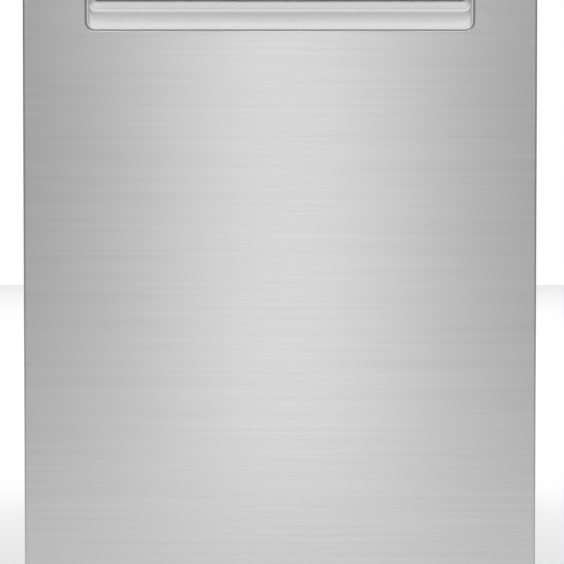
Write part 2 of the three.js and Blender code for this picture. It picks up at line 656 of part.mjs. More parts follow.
function lowerBasket() {
  const { front, back, floor, rim, rampStart, rampTop } = LOWER;
  const [near, far] = [front + WIRE / 2, back - WIRE / 2];
  const profile = [[near, rim], [near, rampTop], [rampStart, floor], [far, floor], [far, rim]];
  const wires = wireBasket(profile, spaced(-140, 200, 5), spaced(-210, 210, 5), [rim, 290]);
  const tines = [-160, 20].flatMap((x) => tineRow(x, floor, 85, spaced(-55, 200, 4)));
  const axleZ = TUB.floor + GAP + WHEEL.radius;
  const hangers = [];
  for (const [, s] of SIDES) {
    for (const y of [WHEEL.front, WHEEL.rear]) {
      hangers.push(sideBox(s, 222, 229, y - 7, y + 7, axleZ - 4, floor + 1));
      hangers.push(sideRod(s, WHEEL.axle, 228, 240, y, axleZ, 10));
      hangers.push(sideBox(s, 208, 228, y - 5, y + 5, floor - 2, floor + 2));
    }
  }
  return join(...wires, ...tines, ...hangers);
}

// A wheel about its own axle along X.
function wheel() {
  const { radius, width, bore } = WHEEL;
  const half = width / 2;
  const profile = [[bore, -half], [radius - 1, -half], [radius, 1 - half], [radius, half - 1], [radius - 1, half]];
  profile.push([bore, half], [bore, -half]);
  return turned(profile, 16).rotateY(Math.PI / 2);
}

// A row of plate tines about its own rod, which lies along Y.
function foldTines() {
  return join(...tineRow(0, 0, 88, spaced(-80, 140, 7)), box(-3, 3, -92, -86, -3, 3), box(-3, 3, 146, 152, -3, 3));
}

// An open box of six cells with slotted walls and a carrying handle.
function silverwareBasket() {
  const [x0, x1, y0, y1, z0, z1] = [62, 222, -140, -16, 211, 320];
  const wall = 2;
  const cells = [];
  const [columns, rows] = [3, 2];
  const [cellX, cellY] = [(x1 - x0 - wall) / columns, (y1 - y0 - wall) / rows];
  for (let i = 0; i < columns; i += 1) {
    for (let j = 0; j < rows; j += 1) {
      const [x, y] = [x0 + wall + i * cellX, y0 + wall + j * cellY];
      cells.push(box(x, x + cellX - wall, y, y + cellY - wall, z0 + wall, z1 + 1));
    }
  }
  const slots = [];
  for (const z of [232, 262, 292]) {
    for (const x of [82, 135, 188]) slots.push(box(x - 8, x + 24, y0 - 1, y0 + wall + 1, z, z + 16));
    for (const x of [82, 135, 188]) slots.push(box(x - 8, x + 24, y1 - wall - 1, y1 + 1, z, z + 16));
  }
  const middle = (y0 + y1) / 2;
  const posts = [box(x0, x0 + 6, middle - 5, middle + 5, z1 - 5, 352), box(x1 - 6, x1, middle - 5, middle + 5, z1 - 5, 352)];
  const grip = box(x0, x1, middle - 6, middle + 6, 346, 354);
  return join(cut(box(x0, x1, y0, y1, z0, z1), ...cells, ...slots), ...posts, grip);
}

// The duct under the upper rack from the docking port to the arm's seat.
function upperArmFeed() {
  const duct = box(-14, 14, SPRAY_Y - 20, UPPER.back - 1, 485, 497);
  const seat = rod("z", 12, 480, 486, 0, SPRAY_Y, 12);
  return join(duct, seat);
}

// A hinged grille for cups, about its hinge rod along Y.
function cupShelf() {
  const [near, far] = [-150, 190];
  const rods = [0, 40, 80].map((x) => box(x, x + WIRE, near, far, -WIRE / 2, WIRE / 2));
  const bars = spaced(near + 2, far - 2, 7).map((y) => box(0, 84, y - 2, y + 2, -WIRE / 2, WIRE / 2));
  return join(...rods, ...bars);
}

place(upperRack, "upper_rack", upperBasket(), rackCoat);
place(upperRack, "upper_arm_feed", upperArmFeed(), greyPlastic);
place(upperRack, "upper_spray_arm", sprayArm(228, 8, 18), greyPlastic, 0, SPRAY_Y, 468);
place(upperRack, "cup_shelf", cupShelf(), rackCoat, -255, 0, 572);
place(lowerRack, "lower_rack", lowerBasket(), rackCoat);
place(lowerRack, "silverware_basket", silverwareBasket(), greyPlastic);
place(lowerRack, "fold_down_tines", foldTines(), rackCoat, -60, 0, LOWER.floor + 5.4);
for (const [word, s] of SIDES) {
  const z = TUB.floor + GAP + WHEEL.radius;
  place(lowerRack, `wheel_front_${word}`, wheel(), greyPlastic, s * WHEEL.x, WHEEL.front, z);
  place(lowerRack, `wheel_rear_${word}`, wheel(), greyPlastic, s * WHEEL.x, WHEEL.rear, z);
}

export default dishwasher;
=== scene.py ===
"""Built-in dishwasher, 24 inch class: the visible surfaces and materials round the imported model.

Metres, +Z up. The door's front faces -Y, and the origin is on the floor under the machine's middle.
"""

import math
from functools import partial

import bmesh
import bpy
import mathutils
import numpy as np
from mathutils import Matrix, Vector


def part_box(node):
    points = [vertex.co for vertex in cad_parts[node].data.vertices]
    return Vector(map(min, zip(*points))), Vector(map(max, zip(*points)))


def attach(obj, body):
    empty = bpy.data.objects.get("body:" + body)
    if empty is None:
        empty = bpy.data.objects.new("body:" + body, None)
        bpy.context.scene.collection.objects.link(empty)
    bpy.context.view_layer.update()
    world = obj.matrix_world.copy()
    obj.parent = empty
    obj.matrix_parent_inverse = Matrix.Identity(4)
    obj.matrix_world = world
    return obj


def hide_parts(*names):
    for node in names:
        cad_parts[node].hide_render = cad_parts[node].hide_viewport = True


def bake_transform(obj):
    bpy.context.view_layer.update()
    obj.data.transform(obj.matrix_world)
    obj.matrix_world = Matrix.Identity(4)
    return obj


bl_info = {
    "name": "Built-in dishwasher",
    "version": (1, 0, 0),
    "blender": (4, 5, 0),
    "location": "3D View > Sidebar > Dishwasher",
    "description": "Builds a built-in dishwasher's visible surfaces round its packed model",
    "category": "Add Mesh",
}

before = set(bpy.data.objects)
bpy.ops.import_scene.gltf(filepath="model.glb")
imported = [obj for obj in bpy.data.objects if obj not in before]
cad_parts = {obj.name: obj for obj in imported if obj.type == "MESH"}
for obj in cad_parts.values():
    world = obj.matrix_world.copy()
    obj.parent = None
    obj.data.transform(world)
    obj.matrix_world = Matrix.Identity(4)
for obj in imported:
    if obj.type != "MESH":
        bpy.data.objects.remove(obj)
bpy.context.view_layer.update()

MM = 0.001
SHEET = 1.0 * MM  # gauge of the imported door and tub
GAUGE = 0.9 * MM  # gauge of their visible sheets, which lie inside it
SHARP = math.radians(32)  # an edge that turns more than this stays crisp
SIDES = (("left", -1), ("right", 1))


def limits(node):
    """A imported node's lowest and highest corners as two arrays."""
    low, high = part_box(node)
    return np.array(low, float), np.array(high, float)


# ------------------------------------------------------------------ settings


class DishwasherFinish(bpy.types.PropertyGroup):
    """Colours and surface finishes that a user would change."""

    steel: bpy.props.StringProperty(
        name="Door steel", description="sRGB colour of the brushed door as hex", default="#D2D2D2"
    )
    steel_roughness: bpy.props.FloatProperty(
        name="Steel roughness", description="How far the brushing spreads a reflection", default=0.33, min=0.1, max=0.8
    )
    plating: bpy.props.StringProperty(
        name="Handle silver", description="sRGB colour of the silver handle recess as hex", default="#C2C2C2"
    )
    coating: bpy.props.StringProperty(
        name="Rack coating", description="sRGB colour of the nylon on the rack wires as hex", default="#C3C9CE"
    )
    moulding: bpy.props.StringProperty(
        name="Grey moulding", description="sRGB colour of the grey polypropylene pieces as hex", default="#8A9097"
    )
    console: bpy.props.StringProperty(
        name="Console black", description="sRGB colour of the control housing as hex", default="#1B1C1E"
    )


class DishwasherDetail(bpy.types.PropertyGroup):
    """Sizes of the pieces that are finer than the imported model."""

    bend: bpy.props.FloatProperty(
        name="Door edge radius", description="Outer radius where the door's sheet is folded", default=2.2 * MM,
        min=0.5 * MM, max=6 * MM, unit="LENGTH", precision=5,
    )
    wire: bpy.props.FloatProperty(
        name="Rack wire radius", description="Radius of a coated rack wire", default=1.9 * MM,
        min=1 * MM, max=3 * MM, unit="LENGTH", precision=5,
    )
    rim_wire: bpy.props.FloatProperty(
        name="Rack rim radius", description="Radius of a rack's rim wire", default=2.0 * MM,
        min=1 * MM, max=3 * MM, unit="LENGTH", precision=5,
    )
    turns: bpy.props.IntProperty(
        name="Spring turns", description="Turns of one door balance spring", default=46, min=10, max=90
    )
    quilt: bpy.props.FloatProperty(
        name="Quilt spacing", description="Distance between the blanket's bonded lines", default=62 * MM,
        min=20 * MM, max=150 * MM, unit="LENGTH", precision=4,
    )


class DishwasherStage(bpy.types.PropertyGroup):
    """The studio round the machine."""

    floor: bpy.props.StringProperty(name="Floor", description="sRGB colour of the floor as hex", default="#EDEDED")
    surround: bpy.props.FloatProperty(
        name="Room level", description="Brightness of the room that the steel mirrors", default=0.23, min=0, max=2
    )
    key: bpy.props.FloatProperty(
        name="Tall softbox", description="Power of the narrow softbox in front of the door", default=3.7,
        min=0, max=1000, unit="POWER",
    )
    top: bpy.props.FloatProperty(
        name="Overhead softbox", description="Power of the overhead softbox", default=56, min=0, max=1000, unit="POWER"
    )
    floor_light: bpy.props.FloatProperty(
        name="Floor softbox", description="Power of the wide softbox over the floor behind", default=260,
        min=0, max=2000, unit="POWER",
    )
    distance: bpy.props.FloatProperty(
        name="Camera distance", description="From the door's face to the lens", default=4.0, min=1, max=20,
        unit="LENGTH",
    )


# ------------------------------------------------------------------ surfaces
# A part is (points, faces): an array of places and a list of arrays of corner numbers, one row for each face.


def sheet_faces(rows, columns, around_rows=False, around_columns=False):
    """Quads of a grid whose point (i, j) is number i * columns + j; either way round may close on itself."""
    i = np.arange(rows if around_rows else rows - 1)[:, None]
    j = np.arange(columns if around_columns else columns - 1)[None, :]
    down, across = (i + 1) % rows, (j + 1) % columns
    corners = (i * columns + j, i * columns + across, down * columns + across, down * columns + j)
    return np.stack(np.broadcast_arrays(*corners), axis=-1).reshape(-1, 4)


def grid(points, keep=None, around_rows=False, around_columns=False, flip=False):
    """A grid of points (rows, columns, 3) as quads; keep says, for each quad, whether it is there."""
    rows, columns = points.shape[:2]
    faces = sheet_faces(rows, columns, around_rows, around_columns)
    if keep is not None:
        faces = faces[keep.reshape(-1)]
    if flip:
        faces = faces[:, ::-1]
    return points.reshape(-1, 3), [faces]


def outward(part):
    """The same closed part, turned if the volume under its faces comes out negative."""
    points, groups = part
    volume = 0.0
    for faces in groups:
        first = points[faces[:, 0]]
        for k in range(1, faces.shape[1] - 1):
            volume += np.einsum("ij,ij->i", first, np.cross(points[faces[:, k]], points[faces[:, k + 1]])).sum()
    return (points, [faces[:, ::-1] for faces in groups]) if volume < 0 else part


def facing(part, way):
    """The same open sheet, turned if its faces look away from a direction on the whole."""
    points, groups = part
    total = np.zeros(3)
    for faces in groups:
        first, second, third = (points[faces[:, k]] for k in range(3))
        total += np.cross(second - first, third - first).sum(axis=0)
    return (points, [faces[:, ::-1] for faces in groups]) if total @ np.array(way, float) < 0 else part


def loft(loops, closed=True):
    """Closed outlines (loops, points, 3) joined one to the next by quads; closed adds a flat face at both ends."""
    points, faces = grid(np.asarray(loops), around_columns=True)
    if not closed:
        return points, faces
    count = loops.shape[1]
    ends = [np.arange(count)[None, ::-1], (len(points) - count + np.arange(count))[None, :]]
    return outward((points, faces + ends))


def outline(half_u, half_v, radius, corner=6, run=()):
    """A rounded rectangle round the origin: four quarter circles joined by straight runs, with points at the
    fractions of each run that run lists."""
    radius = min(radius, half_u - 1e-6, half_v - 1e-6)
    turn = np.linspace(0, math.pi / 2, corner + 1)
    pieces = []
    for quarter, (su, sv) in enumerate(((1, 1), (-1, 1), (-1, -1), (1, -1))):
        angle = turn + quarter * math.pi / 2
        u = su * (half_u - radius) + radius * np.cos(angle)
        v = sv * (half_v - radius) + radius * np.sin(angle)
        pieces.append(np.stack([u, v], axis=-1))
    run = np.array(run, float).reshape(-1, 1)
    filled = []
    for here, after in zip(pieces, pieces[1:] + pieces[:1]):
        filled += [here, here[-1] * (1 - run) + after[0] * run]
    return np.concatenate(filled)


AXES = {"x": (1, 2, 0), "y": (0, 2, 1), "z": (0, 1, 2)}


def raised(flat, height, axis):
    """Flat points (n, 2) put at a height along an axis: (y, z) for x, (x, z) for y and (x, y) for z."""
    points = np.empty((len(flat), 3))
    first, second, third = AXES[axis]
    points[:, first], points[:, second], points[:, third] = flat[:, 0], flat[:, 1], height
    return points


def upright(half_u, half_v, radius, y, middle, corner=6, run=()):
    """A rounded rectangle that stands across Y at a depth, with its middle at a height."""
    return raised(outline(half_u, half_v, radius, corner, run) + [0, middle], y, "y")


def block(low, high, axis="z", corner=1 * MM, edge=0.6 * MM, steps=3, round_steps=5):
    """A plate or bar with corner radius across an axis; its ends draw in along a quarter circle of radius edge."""
    low, high = np.array(low, float), np.array(high, float)
    first, second, third = AXES[axis]
    middle = (low + high) / 2
    half_u, half_v = (high[first] - low[first]) / 2, (high[second] - low[second]) / 2
    edge = min(edge, (high[third] - low[third]) / 2.01, half_u * 0.9, half_v * 0.9)
    corner = max(corner, edge)
    turn = np.linspace(0, math.pi / 2, steps + 1)
    inset = np.concatenate([edge * (1 - np.sin(turn)), edge * (1 - np.sin(turn[::-1]))])
    height = np.concatenate([low[third] + edge * (1 - np.cos(turn)), high[third] - edge * (1 - np.cos(turn[::-1]))])
    loops = []
    for pull, level in zip(inset, height):
        flat = outline(half_u - pull, half_v - pull, max(corner - pull, 1e-5), round_steps)
        loops.append(raised(flat + [middle[first], middle[second]], level, axis))
    return loft(np.array(loops))


def turned(profile, centre=(0, 0, 0), axis="z", sides=48):
    """A solid of revolution: each (radius, height) of the profile is a circle, and flat discs close both ends."""
    profile = np.array(profile, float)
    angle = np.linspace(0, 2 * math.pi, sides, endpoint=False)
    circle = np.stack([np.cos(angle), np.sin(angle)], axis=-1)
    loops = np.array([raised(circle * max(r, 2e-5), h, axis) for r, h in profile])
    return loft(loops + np.array(centre))


def rod(radius, first, last, edge, pull):
    """A rod's profile from one end to the other; over the length edge, each end is drawn in by pull."""
    return [(radius - pull, first), (radius, first + edge), (radius, last - edge), (radius - pull, last)]


def in_mm(profile, height=0.0):
    """A profile given in millimetres, in metres and raised to a height."""
    return [(radius * MM, height + z * MM) for radius, z in profile]


def across(s, near, far):
    """Two distances from the middle plane as places along X on one side, the lower first."""
    return sorted((s * near, s * far))


def hoop(profile, centre=(0, 0, 0), axis="z", sides=64):
    """A ring: a closed profile of (radius, height) carried round an axis."""
    profile = np.array(profile, float)
    angle = np.linspace(0, 2 * math.pi, sides, endpoint=False)
    circle = np.stack([np.cos(angle), np.sin(angle)], axis=-1)
    loops = np.array([raised(circle * r, h, axis) for r, h in profile]) + np.array(centre)
    return outward(grid(loops, around_rows=True, around_columns=True))


def tube(path, radius, sides=8, across=(0, 0, 1), around=False):
    """A round section carried along a path; it starts towards the direction across, made square to the path."""
    path = np.array(path, float)
    if around:
        along = np.roll(path, -1, axis=0) - np.roll(path, 1, axis=0)
    else:
        along = np.gradient(path, axis=0)
    along /= np.linalg.norm(along, axis=1, keepdims=True)
    first = np.array(across, float) - along * (along @ np.array(across, float))[:, None]
    first /= np.linalg.norm(first, axis=1, keepdims=True)
    second = np.cross(along, first)
    angle = np.linspace(0, 2 * math.pi, sides, endpoint=False)
    radius = np.broadcast_to(np.asarray(radius, float), len(path))[:, None, None]
    ring = np.cos(angle)[None, :, None] * first[:, None, :] + np.sin(angle)[None, :, None] * second[:, None, :]
    loops = path[:, None, :] + radius * ring
    if around:
        return outward(grid(loops, around_rows=True, around_columns=True))
    return loft(loops)


def bent(corners, radius, steps=5, around=False):
    """A line through corner points whose bends are quarter-like arcs: a quadratic curve from leg to leg."""
    at = np.array(corners, float)
    count = len(at)
    places = range(count) if around else range(1, count - 1)
    t = np.linspace(0, 1, steps + 1)[:, None]
    line = [] if around else [at[:1]]
    for i in places:
        before, here, after = at[i - 1], at[i], at[(i + 1) % count]
        leg = min(radius, np.linalg.norm(here - before) / 2.01, np.linalg.norm(after - here) / 2.01)
        start = here + (before - here) / np.linalg.norm(before - here) * leg
        end = here + (after - here) / np.linalg.norm(after - here) * leg
        line.append((1 - t) ** 2 * start + 2 * t * (1 - t) * here + t**2 * end)
    if not around:
        line.append(at[-1:])
    return np.concatenate(line)


def piece(name, parts, finish, body, stands_for=(), smooth=True, wall=0.0):
    """Puts parts into one mesh object that rides on a body; wall gives a sheet its thickness behind its face."""
    mesh = bpy.data.meshes.new(name)
    points, loops, sizes, start = [], [], [], 0
    for places, groups in parts:
        for faces in groups:
            loops.append((faces + start).reshape(-1))
            sizes.append(np.full(len(faces), faces.shape[1]))
        points.append(places)
        start += len(places)
    points, loops, sizes = np.concatenate(points), np.concatenate(loops), np.concatenate(sizes)
    mesh.vertices.add(len(points))
    mesh.vertices.foreach_set("co", points.astype(np.float32).reshape(-1))
    mesh.loops.add(len(loops))
    mesh.loops.foreach_set("vertex_index", loops.astype(np.int32))
    mesh.polygons.add(len(sizes))
    mesh.polygons.foreach_set("loop_start", (np.cumsum(sizes) - sizes).astype(np.int32))
    mesh.update(calc_edges=True)
    mesh.validate()
    return finished(name, mesh, finish, body, stands_for, smooth, wall)


def finished(name, mesh, finish, body, stands_for=(), smooth=True, wall=0.0):
    """Gives a mesh its object, its shading, its finish and its body, and hides the nodes it stands for."""
    material, slot = FINISH[finish]
    if smooth:
        mesh.shade_smooth()
        mesh.set_sharp_from_angle(angle=SHARP)
    made = bpy.data.objects.new(name, mesh)
    bpy.context.scene.collection.objects.link(made)
    mesh.materials.append(material)
    if wall:
        thick = made.modifiers.new("sheet gauge", "SOLIDIFY")
        thick.thickness = wall
        thick.offset = -1
        thick.use_even_offset = False
    if body:
        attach(made, body)
    if stands_for:
        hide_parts(*stands_for)
    return made


def eased(node, name, finish, body, edge):
    """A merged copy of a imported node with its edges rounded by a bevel, standing for that node."""
    mesh = bpy.data.meshes.new(name)
    work = bmesh.new()
    work.from_mesh(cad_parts[node].data)
    bmesh.ops.remove_doubles(work, verts=work.verts, dist=2e-5)
    bmesh.ops.dissolve_limit(work, angle_limit=math.radians(1), verts=work.verts, edges=work.edges)
    work.to_mesh(mesh)
    work.free()
    made = finished(name, mesh, finish, body, (node,))
    bevel = made.modifiers.new("broken edges", "BEVEL")
    bevel.width = edge
    bevel.segments = 2
    bevel.limit_method = "ANGLE"
    bevel.angle_limit = math.radians(40)
    bevel.use_clamp_overlap = True
    bevel.harden_normals = True
    return made


def screw(at, axis, way=1, radius=4 * MM):
    """A pan-head screw seated at a point: a domed head whose profile is an arc, with a round socket sunk in it."""
    rise = radius * 0.55
    arc = np.linspace(0, 1, 6)
    dome = [(radius * math.cos(t * 1.1), way * rise * math.sin(t * 1.4)) for t in arc]
    socket = radius * 0.34
    top = dome[-1][1]
    head = [(radius * 0.8, -way * 0.1 * MM), (radius, 0)] + dome + [(socket, top)]
    return turned(head + [(socket, top - way * rise * 0.6)], at, axis, 18)


# ------------------------------------------------------------------ materials
# A pattern's scale is one over its real size. Patterns read object coordinates, which are metres.


def srgb(code):
    """A hex colour as linear RGBA: each channel follows the sRGB curve."""
    channels = np.array([int(code[i : i + 2], 16) for i in (1, 3, 5)]) / 255
    linear = np.where(channels <= 0.04045, channels / 12.92, ((channels + 0.055) / 1.055) ** 2.4)
    return (*(float(c) for c in linear), 1.0)


def darker(code, share):
    """A hex colour scaled by a share of its value."""
    return "#" + "".join("%02X" % min(255, round(int(code[i : i + 2], 16) * share)) for i in (1, 3, 5))


def node(tree, kind, out=0, **values):
    """Adds a node and returns one of its outputs.

    A lower-case name is one of the node's properties. Any other is an input, with _ for a space, and takes a value or
    another node's output.
    """
    made = tree.nodes.new("ShaderNode" + kind)
    for name, value in values.items():
        if name[0].islower():
            setattr(made, name, value)
            continue
        socket = next(s for s in made.inputs if name in (s.name.replace(" ", "_"), s.identifier))
        if isinstance(value, bpy.types.NodeSocket):
            tree.links.new(value, socket)
        else:
            socket.default_value = value
    return made.outputs[out] if made.outputs else None


def blank(name):
    """A new material, its tree and its object coordinates."""
    made = bpy.data.materials.new(name)
    made.use_nodes = True
    made.node_tree.nodes.clear()
    return made, made.node_tree, node(made.node_tree, "TexCoord", "Object")


def surfaced(made, colour, gloss=None, relief=None, **constants):
    """Ends a material with its shader.

    colour is a pattern, the range of it that is read, and a hex colour for each end; gloss is the same with two
    roughnesses. relief is a pattern, a strength and a depth. The constants go to the shader's own sockets.
    """
    tree = made.node_tree
    pattern, low, high, first, last = colour
    share = node(tree, "MapRange", Value=pattern, From_Min=low, From_Max=high)
    tints = {"A_Color": srgb(first), "B_Color": srgb(last)}
    constants["Base_Color"] = node(tree, "Mix", 2, data_type="RGBA", Factor_Float=share, **tints)
    if gloss:
        pattern, low, high, least, most = gloss
        ends = {"From_Min": low, "From_Max": high, "To_Min": least, "To_Max": most}
        constants["Roughness"] = node(tree, "MapRange", Value=pattern, **ends)
    if relief:
        pattern, strength, depth = relief
        constants["Normal"] = node(tree, "Bump", Height=pattern, Strength=strength, Distance=depth)
    node(tree, "OutputMaterial", Surface=node(tree, "BsdfPrincipled", **constants))
    return made


def brushed_stainless(colour, roughness):
    """Number 4 brushed stainless steel: an abrasive belt leaves hair-fine parallel scratches along X.

    They catch the light as faint streaks along the belt's way and spread reflections across it. A belt of 180
    grit leaves lines about 0.08 mm apart; they are drawn 0.5 mm apart, the finest that shows.
    """
    made, tree, place = blank("brushed_stainless_door")
    along, across = 1 / (90 * MM), 1 / (0.5 * MM)
    line = node(tree, "Mapping", Vector=place, Scale=(along, across, across))
    hair = node(tree, "TexNoise", Vector=line, Scale=1, Detail=3, Roughness=0.6)
    line = node(tree, "Mapping", Vector=place, Scale=(along / 4, across / 9, across / 9))
    band = node(tree, "TexNoise", Vector=line, Scale=1)
    both = node(tree, "Math", operation="ADD", Value=hair, Value_001=band)
    ends = darker(colour, 0.975), darker(colour, 1.02)
    gloss = (hair, 0.3, 0.7, roughness - 0.03, roughness + 0.03)
    return surfaced(made, (both, 0.7, 1.3, *ends), gloss, (hair, 0.05, 0.02 * MM), Metallic=1)


def bright_stainless():
    """Number 2B cold-rolled stainless sheet, deep drawn: a cool even mirror haze with slow waves from the press."""
    made, tree, place = blank("cold_rolled_stainless")
    haze = node(tree, "TexNoise", Vector=place, Scale=1 / (35 * MM), Detail=3, Roughness=0.6)
    wave = node(tree, "TexNoise", Vector=place, Scale=1 / (160 * MM), Detail=1, Roughness=0.4)
    gloss = (haze, 0.3, 0.7, 0.25, 0.29)
    return surfaced(made, (haze, 0, 1, "#C8CBCD", "#CDCFD0"), gloss, (wave, 0.05, 1 * MM), Metallic=1)


def zinc_plate():
    """Zinc-plated steel: a dull blue-grey metal with faint crystal patches about 3 mm across."""
    made, tree, place = blank("zinc_plated_steel")
    patch = node(tree, "TexVoronoi", "Color", feature="F1", Vector=place, Scale=1 / (3 * MM))
    level = node(tree, "SeparateColor", Color=patch)
    cloud = node(tree, "TexNoise", Vector=place, Scale=1 / (12 * MM), Detail=3)
    gloss = (cloud, 0.3, 0.7, 0.34, 0.5)
    return surfaced(made, (level, 0, 1, "#9CA2A8", "#B4B9BD"), gloss, (level, 0.08, 0.1 * MM), Metallic=1)


def black_enamel():
    """Black electro-dipped paint on pressed steel: a thin satin coat with slight orange peel of 1.5 mm pitch."""
    made, tree, place = blank("black_dip_paint")
    peel = node(tree, "TexNoise", Vector=place, Scale=1 / (1.5 * MM))
    dust = node(tree, "TexNoise", Vector=place, Scale=1 / (40 * MM), Detail=4, Roughness=0.65)
    gloss = (dust, 0.3, 0.7, 0.38, 0.52)
    return surfaced(made, (dust, 0, 1, "#1D1E20", "#2A2B2D"), gloss, (peel, 0.12, 0.06 * MM))


def silver_paint(colour):
    """Silver-painted ABS: aluminium flake under a satin clear coat, so it mirrors softly like matt metal."""
    made, tree, place = blank("silver_painted_abs")
    flake = node(tree, "TexNoise", Vector=place, Scale=1 / (0.35 * MM), Detail=1)
    cloud = node(tree, "TexNoise", Vector=place, Scale=1 / (25 * MM))
    ends = darker(colour, 0.97), darker(colour, 1.02)
    gloss, relief = (cloud, 0.3, 0.7, 0.48, 0.54), (flake, 0.04, 0.03 * MM)
    return surfaced(made, (flake, 0.35, 0.65, *ends), gloss, relief, Specular_IOR_Level=0.3)


def moulded(name, light, dark, grain, roughness):
    """Injection-moulded plastic: a spark-eroded tool leaves an even pebble grain, with slow colour drift."""
    made, tree, place = blank(name)
    pebble = node(tree, "TexNoise", Vector=place, Scale=1 / grain, Detail=3, Roughness=0.6)
    drift = node(tree, "TexNoise", Vector=place, Scale=1 / (45 * MM), Detail=3, Roughness=0.6)
    gloss = (pebble, 0.3, 0.7, roughness - 0.06, roughness + 0.06)
    return surfaced(made, (drift, 0.3, 0.7, dark, light), gloss, (pebble, 0.2, grain * 0.08), IOR=1.49)


def nylon_coat(colour):
    """Nylon powder fused on steel wire: a soft sheen with rounded lumps a few millimetres long."""
    made, tree, place = blank("nylon_coated_wire")
    lump = node(tree, "TexNoise", Vector=place, Scale=1 / (4 * MM))
    depth = {"Subsurface_Weight": 0.05, "Subsurface_Scale": 1 * MM}
    gloss, relief = (lump, 0.3, 0.7, 0.34, 0.46), (lump, 0.15, 0.15 * MM)
    return surfaced(made, (lump, 0, 1, darker(colour, 0.94), colour), gloss, relief, IOR=1.53, **depth)


def seal_rubber():
    """Extruded EPDM seal: matt dark grey rubber with a light bloom in patches."""
    made, tree, place = blank("epdm_seal")
    bloom = node(tree, "TexNoise", Vector=place, Scale=1 / (18 * MM), Detail=4, Roughness=0.7)
    fine = node(tree, "TexNoise", Vector=place, Scale=1 / (0.8 * MM))
    gloss = (bloom, 0.3, 0.7, 0.62, 0.8)
    return surfaced(made, (bloom, 0, 1, "#3B3D40", "#55585B"), gloss, (fine, 0.15, 0.08 * MM), IOR=1.5)


def needled_felt():
    """Needle-punched cotton felt: matted grey fibres, with darker and paler strands about 6 mm long."""
    made, tree, place = blank("needled_cotton_felt")
    drawn = node(tree, "Mapping", Vector=place, Scale=(1, 0.35, 0.35))
    strand = node(tree, "TexNoise", Vector=drawn, Scale=1 / (1.2 * MM), Detail=4, Roughness=0.7)
    fleck = node(tree, "TexNoise", Vector=place, Scale=1 / (9 * MM), Detail=5, Roughness=0.75)
    both = node(tree, "Math", operation="MULTIPLY", Value=strand, Value_001=fleck)
    nap = {"Roughness": 0.95, "Sheen_Weight": 0.3, "Sheen_Roughness": 0.6}
    return surfaced(made, (both, 0.15, 0.4, "#4B4D50", "#86898B"), None, (strand, 0.7, 0.8 * MM), **nap)


def filter_mesh():
    """Etched stainless filter sheet: round holes 1 mm wide on a 2 mm pitch, drawn as dark dots of painted shade, the
    dark seen through a hole.
    """
    made, tree, place = blank("etched_filter_sheet")
    hole = node(tree, "TexVoronoi", feature="F1", Vector=place, Scale=1 / (2 * MM), Randomness=0)
    rim = node(tree, "MapRange", Value=hole, From_Min=0.3, From_Max=0.38)
    gloss = (rim, 0, 1, 0.7, 0.3)
    # the dark colour #242628 inside each hole is painted shade, standing in for the dark seen through an opening
    return surfaced(made, (rim, 0, 1, "#242628", "#C2C5C7"), gloss, (rim, 0.4, 0.2 * MM), Metallic=1)


def brass():
    """Machined brass: warm metal with turning marks 0.4 mm apart and slight tarnish."""
    made, tree, place = blank("machined_brass")
    turning = node(tree, "Mapping", Vector=place, Scale=(40, 40, 1 / (0.4 * MM)))
    mark = node(tree, "TexNoise", Vector=turning, Scale=1)
    stain = node(tree, "TexNoise", Vector=place, Scale=1 / (10 * MM), Detail=4, Roughness=0.6)
    gloss = (stain, 0.3, 0.7, 0.28, 0.42)
    return surfaced(made, (stain, 0, 1, "#A98A4E", "#CDB06C"), gloss, (mark, 0.15, 0.05 * MM), Metallic=1)


def smoked_window():
    """Smoked acrylic over the display: glossy near-black with faint fingerprints."""
    made, tree, place = blank("smoked_acrylic")
    touch = node(tree, "TexNoise", Vector=place, Scale=1 / (14 * MM), Detail=4, Roughness=0.7)
    coat = {"IOR": 1.49, "Coat_Weight": 0.4, "Coat_Roughness": 0.05}
    return surfaced(made, (touch, 0, 1, "#08090B", "#101216"), (touch, 0.4, 0.7, 0.06, 0.16), **coat)


def lit_segment():
    """A lit display bar: a pale blue-white diode behind a diffuser, slightly brighter in its middle."""
    made, tree, place = blank("lit_diffuser")
    glow = node(tree, "TexNoise", Vector=place, Scale=1 / (2 * MM), Detail=1)
    ends = {"A_Color": srgb("#9FC6E0"), "B_Color": srgb("#D8ECF6")}
    light = node(tree, "Mix", 2, data_type="RGBA", Factor_Float=glow, **ends)
    lit = {"Emission_Color": light, "Emission_Strength": 0.6, "Roughness": 0.4}
    return surfaced(made, (glow, 0, 1, "#BFD8E8", "#E8F4FA"), **lit)


def clear_lens():
    """Moulded clear polycarbonate with a blue-grey cast, over the rinse-aid level."""
    made, tree, place = blank("clear_polycarbonate")
    cloud = node(tree, "TexNoise", Vector=place, Scale=1 / (6 * MM))
    gloss = (cloud, 0.3, 0.7, 0.08, 0.16)
    return surfaced(made, (cloud, 0, 1, "#31505F", "#41687A"), gloss, IOR=1.58, Coat_Weight=0.5)


def studio_paper(colour):
    """Seamless studio paper: pale and matt with a fine tooth."""
    made, tree, place = blank("seamless_paper")
    tooth = node(tree, "TexNoise", Vector=place, Scale=1 / (3 * MM), Detail=3)
    return surfaced(made, (tooth, 0, 1, darker(colour, 0.985), colour), None, (tooth, 0.05, 0.1 * MM), Roughness=0.85)


FINISH = {}  # a finish's short name: its material and the record's slot for it


